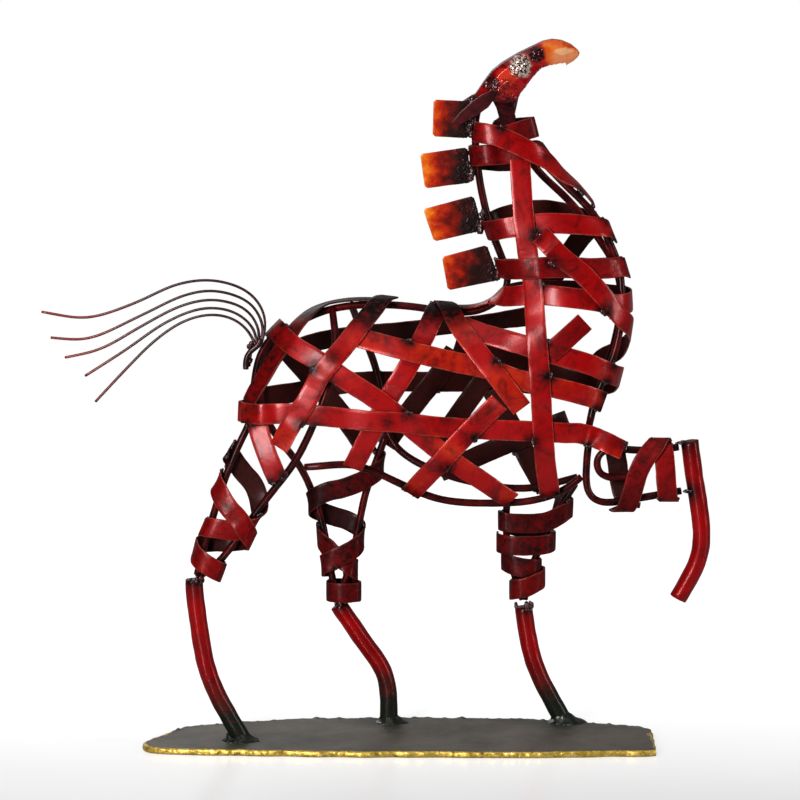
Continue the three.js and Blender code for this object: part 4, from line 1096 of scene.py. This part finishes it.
def make_head():
    """The folded head, with molten braze over both cheeks, an orange muzzle and a plum-black forehead."""
    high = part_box("head")[1]

    def side(normal):
        return ease(0.35, 0.75, abs(normal.y))

    def patch(point, place):
        """An oval place on the cheeks, fading out at its rim."""
        x, z, width, height = place
        off = math.hypot((point.x / MM - x) / width, (point.z / MM - z) / height)
        return ease(1.2, 0.7, off + 0.2 * ripple(point, 3 * MM, 6))

    # The braze patch, whose raised parts carry painted glints.
    def braze(point, normal):
        return side(normal) * patch(point, BRAZE)

    def molten(point, normal):
        crust = max(patch(point, FRONT_CRUST), patch(point, REAR_CRUST), 0.7 * patch(point, LOWER_CRUST))
        return max(braze(point, normal), side(normal) * crust)

    def swell(point, normal):
        pits = ripple(point, 1.5 * MM, 1) + 0.5 * ripple(point, 0.8 * MM, 2)
        return molten(point, normal) * pits * 0.34 * MM + ripple(point, 9 * MM, 3) * 0.06 * MM

    def dark(point, normal):
        crown = ease(0.62, 0.4, abs(normal.y)) * ease(-0.1, 0.3, normal.z) * ease(*FOREHEAD_BEHIND, point.x)
        crust = max(patch(point, FRONT_SCALE), 0.8 * patch(point, REAR_SCALE)) * side(normal)
        # Below the neck plate line the head is blackened as painted shade.
        plate = ease(*NECK_PLATE_BELOW, high.z - point.z)
        # Downward faces are darkened as painted shade.
        under = ease(-0.2, -0.7, normal.z) * 0.7
        return max(0.92 * crown, crust, plate, under)

    def muzzle(point, normal):
        return ease(*MUZZLE_AHEAD, point.x - (MUZZLE_LEVEL - point.z) * 0.25)

    def pale(point, normal):
        # A painted highlight on the muzzle, and a paler lip below it.
        lip = ease(0.3, -0.3, normal.z) * ease(*LIP_AHEAD, point.x) * 0.3
        return max(0.6 * patch(point, MUZZLE_GLOW), lip)

    def warm(point, normal):
        return patch(point, ORANGE_PATCH)

    flow_plate("head", head_lacquer(), HEAD_GRAIN, swell, {
        "molten": molten, "braze": braze, "dark": dark, "muzzle": muzzle, "pale": pale, "warm": warm})


def make_ear(node):
    """A leaf-shaped ear, slightly dished, with a painted highlight along its edge."""
    place = along_x(node)

    def swell(point, normal):
        return ripple(point, 5 * MM, 1) * 0.12 * MM

    def dark(point, normal):
        return 0.8 * ease(0.6, 1, place(point))

    flow_plate(node, ear_lacquer(), bpy.context.scene.horse_metal.plate_grain, swell,
               {"dark": dark, "edge": rim_mark})


# ------------------------------------------------------------------ base plate

def base_outline():
    """The CAD plate's outline in order round it."""
    mesh = cad_mesh("base_plate")
    top = max(corner.co.z for corner in mesh.verts)
    rim = [edge for edge in mesh.edges
           if all(corner.co.z > top - 0.1 * MM for corner in edge.verts) and edge.calc_face_angle() > 1]
    following = {}
    for edge in rim:
        one, other = edge.verts
        following.setdefault(one, []).append(other)
        following.setdefault(other, []).append(one)
    start = rim[0].verts[0]
    walk = [start, following[start][0]]
    while walk[-1] is not start:
        one, other = following[walk[-1]]
        walk.append(other if one is walk[-2] else one)
    outline = [Vector((corner.co.x, corner.co.y, 0)) for corner in walk[:-1]]
    mesh.free()
    area = sum(a.x * b.y - b.x * a.y for a, b in zip(outline, outline[1:] + outline[:1]))
    return outline if area > 0 else outline[::-1]


def fine_outline(outline, step):
    """The outline sampled finely along a smooth line through its corners."""
    count = len(outline)
    result = []
    for i in range(count):
        four = [outline[(i + k) % count] for k in (-1, 0, 1, 2)]
        runs = [(b - a).length for a, b in zip(four, four[1:])]
        steps = max(1, round(runs[1] / step))
        straight = runs[1] > LONG_RUN
        result += [four[1].lerp(four[2], k / steps) if straight else glide(*four, runs, k / steps)
                   for k in range(steps)]
    return result


def make_base():
    """The flame-cut base plate: a ragged brazed rim round a softly uneven top."""
    low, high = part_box("base_plate")
    outline = fine_outline(base_outline(), RIM_STEP)
    count = len(outline)
    centre_y = (low.y + high.y) / 2
    spine = [Vector((min(max(p.x, low.x + 30 * MM), high.x - 30 * MM), centre_y, 0)) for p in outline]
    thick = high.z
    rings = [(inset * MM, height * MM, rough, rim) for inset, height, rough, rim in RIM_SIDE]
    rings += [(inset * MM, thick + rise * MM, rough, rim) for inset, rise, rough, rim in RIM_TOP]
    points = []
    marks = {"rim": [], "dark": []}
    for inset, height, rough, rim in rings:
        for i, (edge, heart) in enumerate(zip(outline, spine)):
            inward = heart - edge
            outward = (outline[(i + 1) % count] - outline[i - 1]).normalized().cross(Vector((0, 0, 1)))
            point = edge + inward * min(0.97, inset / inward.length)
            place = edge + Vector((0, 0, height))
            bulge = ripple(place, 5 * MM, 1) * 0.55 * MM + ripple(place, 1.8 * MM, 2) * 0.3 * MM
            behind = ease(-10 * MM, 10 * MM, edge.y)
            dross = max(0, ripple(edge, 4 * MM, 6)) * 1.6 * MM * behind * (1 if height >= thick else 0)
            drape = max(0, ripple(edge, 7 * MM, 4)) * 0.7 * MM * (1 if height > thick else 0)
            point = point + outward * bulge * rough
            top = height + (dross + drape) * rough if height else 0
            if height >= thick:
                top += ripple(point, 24 * MM, 9) * 0.12 * MM
            points.append(Vector((point.x, point.y, top)))
            overlap = rim * (1 - 0.8 * behind * ease(thick - 1 * MM, thick, height))
            marks["rim"].append(overlap + (0.35 * ripple(edge, 9 * MM, 8) if 0 < overlap < 1 else 0))
            marks["dark"].append(foot_soot(points[-1]) if height >= thick else 0)
    make_piece("base_plate.finished", points, row_faces(len(rings), count), base_paint(), ["base_plate"],
               marks=marks)


@cache
def hooves():
    """The middle of each standing tube's foot and the way the tube leans there."""
    found = []
    for node in STANDING_SHINS:
        corners = cad_points(node)
        floor = min(corner.z for corner in corners)
        middle = mean([corner for corner in corners if corner.z < floor + 0.5 * MM])
        upper = mean([corner for corner in corners if floor + 6 * MM < corner.z < floor + 26 * MM])
        found.append((node, middle, (upper - middle).normalized()))
    return found


def foot_soot(point):
    """How dark the base is round the hooves."""
    distance = min((point - middle).length for _, middle, _ in hooves())
    return math.exp(-(distance / HOOF_SOOT) ** 2)


def make_hoof_weld(node, middle, lean):
    """A ragged fillet of weld from the base plate up onto a tube's foot."""
    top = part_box("base_plate")[1].z
    points = []
    for t, lift in WELD_PROFILE:
        for k in range(WELD_STEPS):
            angle = math.tau * k / WELD_STEPS
            ray = Vector((math.cos(angle), math.sin(angle), 0))
            # Wider and taller towards the front, and uneven all round.
            front = max(0, ray.x)
            seat = ray * 6 * MM + middle
            wide = (3.4 + 2.2 * front + 2.4 * ripple(seat, 5 * MM, 2)) * MM
            tall = (3.6 + 1.6 * front + 2.2 * ripple(seat, 4 * MM, 5)) * MM
            height = lift * tall
            axis = middle + lean * (height / max(lean.z, 0.5))
            radius = SHIN_RADIUS / max(0.7, lean.z) + wide * (1 - t) - 0.2 * MM * t
            point = Vector((axis.x, axis.y, top + height)) + ray * radius
            bulge = ripple(point, 1.6 * MM, 3) * 0.5 * MM + ripple(point, 0.8 * MM, 4) * 0.2 * MM
            points.append(point + (ray + Vector((0, 0, 1))) * bulge * (0.3 if t in (0, 1.12) else 1))
    finish = weld_metal("painted weld fillet", "#0C110B", "#20281D", "#454B3A", 0.3)
    make_piece(node.replace("shin", "hoof_weld"), points, row_faces(len(WELD_PROFILE), WELD_STEPS), finish)


# ------------------------------------------------------------------ weld beads

@cache
def ball(levels):
    """Points and faces of a unit ball of triangles."""
    mesh = bmesh.new()
    bmesh.ops.create_icosphere(mesh, subdivisions=levels, radius=1)
    points = [corner.co.copy() for corner in mesh.verts]
    faces = [tuple(corner.index for corner in face.verts) for face in mesh.faces]
    mesh.free()
    return points, faces


def lump(points, faces, centre, axes, levels, roughness, seed):
    """Adds one lump of metal to a mesh: a ball stretched along three axes and roughened."""
    first = len(points)
    unit, triangles = ball(levels)
    for spot in unit:
        swell = 1 + roughness * (ripple(spot, 0.55, seed) + 0.5 * ripple(spot, 0.27, seed + 3))
        points.append(centre + (axes[0] * spot.x + axes[1] * spot.y + axes[2] * spot.z) * swell)
    faces += [tuple(first + i for i in triangle) for triangle in triangles]


def lay_bead(points, faces, spot, random):
    """A weld bead of two or three overlapping lumps."""
    normal = spot.normal.normalized()
    along = spot.along - normal * spot.along.dot(normal)
    along = along.normalized() if along.length > 0.01 else normal.orthogonal().normalized()
    side = normal.cross(along)
    count = random.choice((2, 2, 3))
    for k in range(count):
        shift = (k - (count - 1) / 2) * spot.radius * random.uniform(0.8, 1.2)
        size = spot.radius * random.uniform(0.72, 1.0)
        centre = spot.point + along * shift + side * random.uniform(-0.25, 0.25) * spot.radius
        axes = [along * size * random.uniform(1.0, 1.3), side * size,
                normal * size * random.uniform(0.62, 0.85)]
        lump(points, faces, centre, axes, 3 if spot.radius > BIG_BEAD else 2, 0.34, random.randrange(90))


def throw_spatter(points, faces, spot, random):
    """Small drops on the metal round a weld bead."""
    skin = surface(tuple(frame["nodes"]))
    normal = spot.normal.normalized()
    side = normal.orthogonal().normalized()
    other = normal.cross(side)
    for _ in range(DROPS_A_BEAD):
        angle = random.uniform(0, math.tau)
        away = random.uniform(1.1, 3.6) * spot.radius
        aim = spot.point + (side * math.cos(angle) + other * math.sin(angle)) * away + normal * 0.6 * MM
        point = skin.find_nearest(aim, 2 * MM)[0]
        if point is None:
            continue
        size = random.uniform(0.14, 0.36) * MM
        axes = [Vector((size, 0, 0)), Vector((0, size, 0)), Vector((0, 0, size))]
        lump(points, faces, point, axes, 1, 0.2, random.randrange(90))


def make_welds(name, low, high):
    """All the weld beads between two heights, as one piece."""
    random = Random(11)
    points = []
    faces = []
    for spot in weld_spots():
        if low <= spot.point.z < high:
            lay_bead(points, faces, spot, random)
            throw_spatter(points, faces, spot, random)
    finish = weld_metal("lacquered weld metal", "#0E0505", "#3A0908", "#8C0F0A", 0.8)
    make_piece(name, points, faces, finish)


# ------------------------------------------------------------------ operators

class HORSE_OT_base(bpy.types.Operator):
    """Make the ragged base plate and the welds that hold the hooves to it"""

    bl_idname = "horse.base"
    bl_label = "Base plate"

    def execute(self, context):
        make_base()
        for node, middle, lean in hooves():
            make_hoof_weld(node, middle, lean)
        return {"FINISHED"}


class HORSE_OT_shins(bpy.types.Operator):
    """Make the four bent tubes of the lower legs"""

    bl_idname = "horse.shins"
    bl_label = "Leg tubes"

    def execute(self, context):
        for node in SHINS:
            low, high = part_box(node)
            standing = node in STANDING_SHINS
            rules = {
                "foot": lambda point: ease(*FOOT_PAINT_BELOW, point.z) if standing else 0,
                "warm": lambda point: ease(low.z, high.z, point.z) if standing else 0.7,
                "dark": lambda point: max(soot(point), ease(high.z - TOP_SCALE, high.z, point.z) * 0.7),
            }
            roll_bar(node, SHIN_RADIUS, BAR_SIDES["shin"], shin_lacquer(), rules)
        return {"FINISHED"}


class HORSE_OT_rods(bpy.types.Operator):
    """Make the round rods that carry the straps"""

    bl_idname = "horse.rods"
    bl_label = "Rods"

    def execute(self, context):
        for node in RODS:
            roll_bar(node, ROD_RADIUS, BAR_SIDES["rod"], rod_lacquer())
        return {"FINISHED"}


def bend_group(straps):
    """Makes a group of straps in their finishes."""
    for node, (warmth, blackness_and_shade) in straps.items():
        # Far-side straps take a copy of the lacquer that is at least 0.3 black, as painted shade.
        far = SLOTS[node] == "dark_red_lacquer"
        finish = (red_lacquer("far-side lacquered flat strap with painted shade", 0.3) if far
                  else red_lacquer("lacquered flat strap", 0.0))
        bend_strap(node, warmth, blackness_and_shade, finish)


class HORSE_OT_trunk_straps(bpy.types.Operator):
    """Bend the flat straps woven round the trunk"""

    bl_idname = "horse.trunk_straps"
    bl_label = "Trunk straps"

    def execute(self, context):
        bend_group(TRUNK_STRAPS)
        return {"FINISHED"}


class HORSE_OT_neck_straps(bpy.types.Operator):
    """Bend the flat straps round the neck and throat"""

    bl_idname = "horse.neck_straps"
    bl_label = "Neck straps"

    def execute(self, context):
        bend_group(NECK_STRAPS)
        return {"FINISHED"}


class HORSE_OT_leg_wraps(bpy.types.Operator):
    """Wind the narrower straps round the upper legs"""

    bl_idname = "horse.leg_wraps"
    bl_label = "Leg wraps"

    def execute(self, context):
        bend_group(LEG_WRAPS)
        return {"FINISHED"}


class HORSE_OT_mane(bpy.types.Operator):
    """Make the four heat-coloured plates of the mane"""

    bl_idname = "horse.mane"
    bl_label = "Mane plates"

    def execute(self, context):
        for node, start in MANE_PLATES.items():
            make_mane_plate(node, start)
        return {"FINISHED"}


class HORSE_OT_head(bpy.types.Operator):
    """Fold the head and melt its cheeks"""

    bl_idname = "horse.head"
    bl_label = "Head"

    def execute(self, context):
        make_head()
        return {"FINISHED"}


class HORSE_OT_ears(bpy.types.Operator):
    """Make the two leaf-shaped ears"""

    bl_idname = "horse.ears"
    bl_label = "Ears"

    def execute(self, context):
        for node in EARS:
            make_ear(node)
        return {"FINISHED"}


class HORSE_OT_tail(bpy.types.Operator):
    """Draw the five wires of the tail"""

    bl_idname = "horse.tail"
    bl_label = "Tail"

    def execute(self, context):
        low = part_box("tail")[0]
        tip = {"tip": lambda point: ease(low.x + 60 * MM, low.x + 10 * MM, point.x)}
        roll_bar("tail", WIRE_RADIUS, BAR_SIDES["wire"], tail_wire(), tip)
        return {"FINISHED"}


class HORSE_OT_welds(bpy.types.Operator):
    """Lay the weld beads and their spatter"""

    bl_idname = "horse.welds"
    bl_label = "Welds"

    def execute(self, context):
        for name, low, high in WELD_PARTS:
            make_welds(name, low, high)
        return {"FINISHED"}


# ------------------------------------------------------------------ stage

def direction(azimuth, elevation):
    """The way from the object to a place round it: azimuth 0 is towards the horse's right."""
    a = math.radians(azimuth)
    e = math.radians(elevation)
    return Vector((math.sin(a) * math.cos(e), -math.cos(a) * math.cos(e), math.sin(e)))


def face(thing, target, azimuth, elevation, distance):
    """Puts a light or the camera at a place round a target, looking at it."""
    away = direction(azimuth, elevation)
    thing.location = target + away * distance
    thing.rotation_mode = "QUATERNION"
    thing.rotation_quaternion = away.to_track_quat("Z", "Y")


def soft_light(name, target, azimuth, elevation, distance, width, height, strength):
    """A soft light panel facing the object."""
    data = bpy.data.lights.new(name, "AREA")
    data.shape = "RECTANGLE"
    data.size = width
    data.size_y = height
    data.energy = strength
    face(new_object(name, data), target, azimuth, elevation, distance)


def make_floor():
    """A plain pale floor, very slightly glossy, that fades into the white behind it."""
    finish, node, (haze,), _ = new_finish("white acrylic table", [(150, 2, 0.5, 0)])
    back = node("SeparateXYZ", node("TexCoord", output="Object"), output="Y")
    glow = node("MapRange", back, -160 * MM, 160 * MM, 0.5, 0.9)
    seen = node("LightPath", output="Is Camera Ray")
    pale = node("ValToRGB", haze, stops=[(0.3, rgba("#AEAEAE")), (0.7, rgba("#B6B6B6"))])
    end_finish(node, pale, [], [], {
        "Roughness": 0.2, "Specular IOR Level": 0.35, "Emission Color": (1, 1, 1, 1),
        "Emission Strength": node("Math", seen, glow, operation="MULTIPLY")})
    sides = 96
    rim = [direction(360 * k / sides, 0) * FLOOR_RADIUS for k in range(sides)]
    data = bpy.data.meshes.new("floor")
    data.from_pydata(rim, [], [tuple(range(sides))])
    data.materials.append(finish)
    floor = new_object("floor", data)
    floor.location.z = -0.05 * MM


def make_studio():
    """White surroundings, darker on the horse's right."""
    world = bpy.data.worlds.new("studio")
    bpy.context.scene.world = world
    world.use_nodes = True
    world.node_tree.nodes.clear()
    node = partial(add, world.node_tree)
    way = node("TexCoord", output="Generated")
    lit = node("MapRange", node("SeparateXYZ", way, output="Y"), -0.6, 0.9, 0.03, 0.16)
    seen = node("LightPath", output="Is Camera Ray")
    strength = node("Math", lit, seen, operation="MAXIMUM")
    light = node("Background", Color=(1, 1, 1, 1), Strength=strength)
    node("OutputWorld", light)


def make_camera(target):
    """A long lens level with the back, looking slightly down at the horse's right side."""
    data = bpy.data.cameras.new("camera")
    data.lens = CAMERA_LENS
    data.sensor_width = 36
    camera = new_object("camera", data)
    face(camera, target, 0, CAMERA_ELEVATION, CAMERA_DISTANCE)
    bpy.context.scene.camera = camera


class HORSE_OT_stage(bpy.types.Operator):
    """Set up the floor, the soft lights and the camera"""

    bl_idname = "horse.stage"
    bl_label = "Stage"

    def execute(self, context):
        low, high = (Vector(corner) for corner in CAD_BOX)
        target = (low + high) / 2
        target.y = 0
        make_floor()
        make_studio()
        for name, *settings in LIGHTS:
            soft_light(name, target, *settings)
        make_camera(Vector(CAMERA_TARGET))
        context.scene.view_settings.view_transform = "Standard"
        return {"FINISHED"}


# ------------------------------------------------------------------ panel and registration

OPERATORS = [
    HORSE_OT_base, HORSE_OT_shins, HORSE_OT_rods, HORSE_OT_trunk_straps, HORSE_OT_neck_straps,
    HORSE_OT_leg_wraps, HORSE_OT_mane, HORSE_OT_head, HORSE_OT_ears, HORSE_OT_tail, HORSE_OT_welds,
    HORSE_OT_stage,
]


class HORSE_PT_sidebar(bpy.types.Panel):
    """Lists the pieces of the horse and their settings"""

    bl_label = "Strapwork Horse"
    bl_space_type = "VIEW_3D"
    bl_region_type = "UI"
    bl_category = "Horse"

    def draw(self, context):
        for settings in (context.scene.horse_metal, context.scene.horse_finish):
            column = self.layout.column(align=True)
            for name in settings.__annotations__:
                column.prop(settings, name)
        column = self.layout.column(align=True)
        for operator in OPERATORS:
            column.operator(operator.bl_idname)


CLASSES = [HorseMetal, HorseFinish, *OPERATORS, HORSE_PT_sidebar]


def register():
    """Registers the classes and the settings."""
    for kind in CLASSES:
        bpy.utils.register_class(kind)
    bpy.types.Scene.horse_metal = PointerProperty(type=HorseMetal)
    bpy.types.Scene.horse_finish = PointerProperty(type=HorseFinish)


def unregister():
    """Takes away the settings and the classes."""
    del bpy.types.Scene.horse_finish
    del bpy.types.Scene.horse_metal
    for kind in reversed(CLASSES):
        bpy.utils.unregister_class(kind)


def main():
    """Makes the whole horse and its stage."""
    register()
    bpy.ops.horse.base()
    bpy.ops.horse.shins()
    bpy.ops.horse.rods()
    bpy.ops.horse.trunk_straps()
    bpy.ops.horse.neck_straps()
    bpy.ops.horse.leg_wraps()
    bpy.ops.horse.mane()
    bpy.ops.horse.head()
    bpy.ops.horse.ears()
    bpy.ops.horse.tail()
    bpy.ops.horse.welds()
    bpy.ops.horse.stage()
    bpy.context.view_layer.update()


if __name__ == "__main__":
    main()
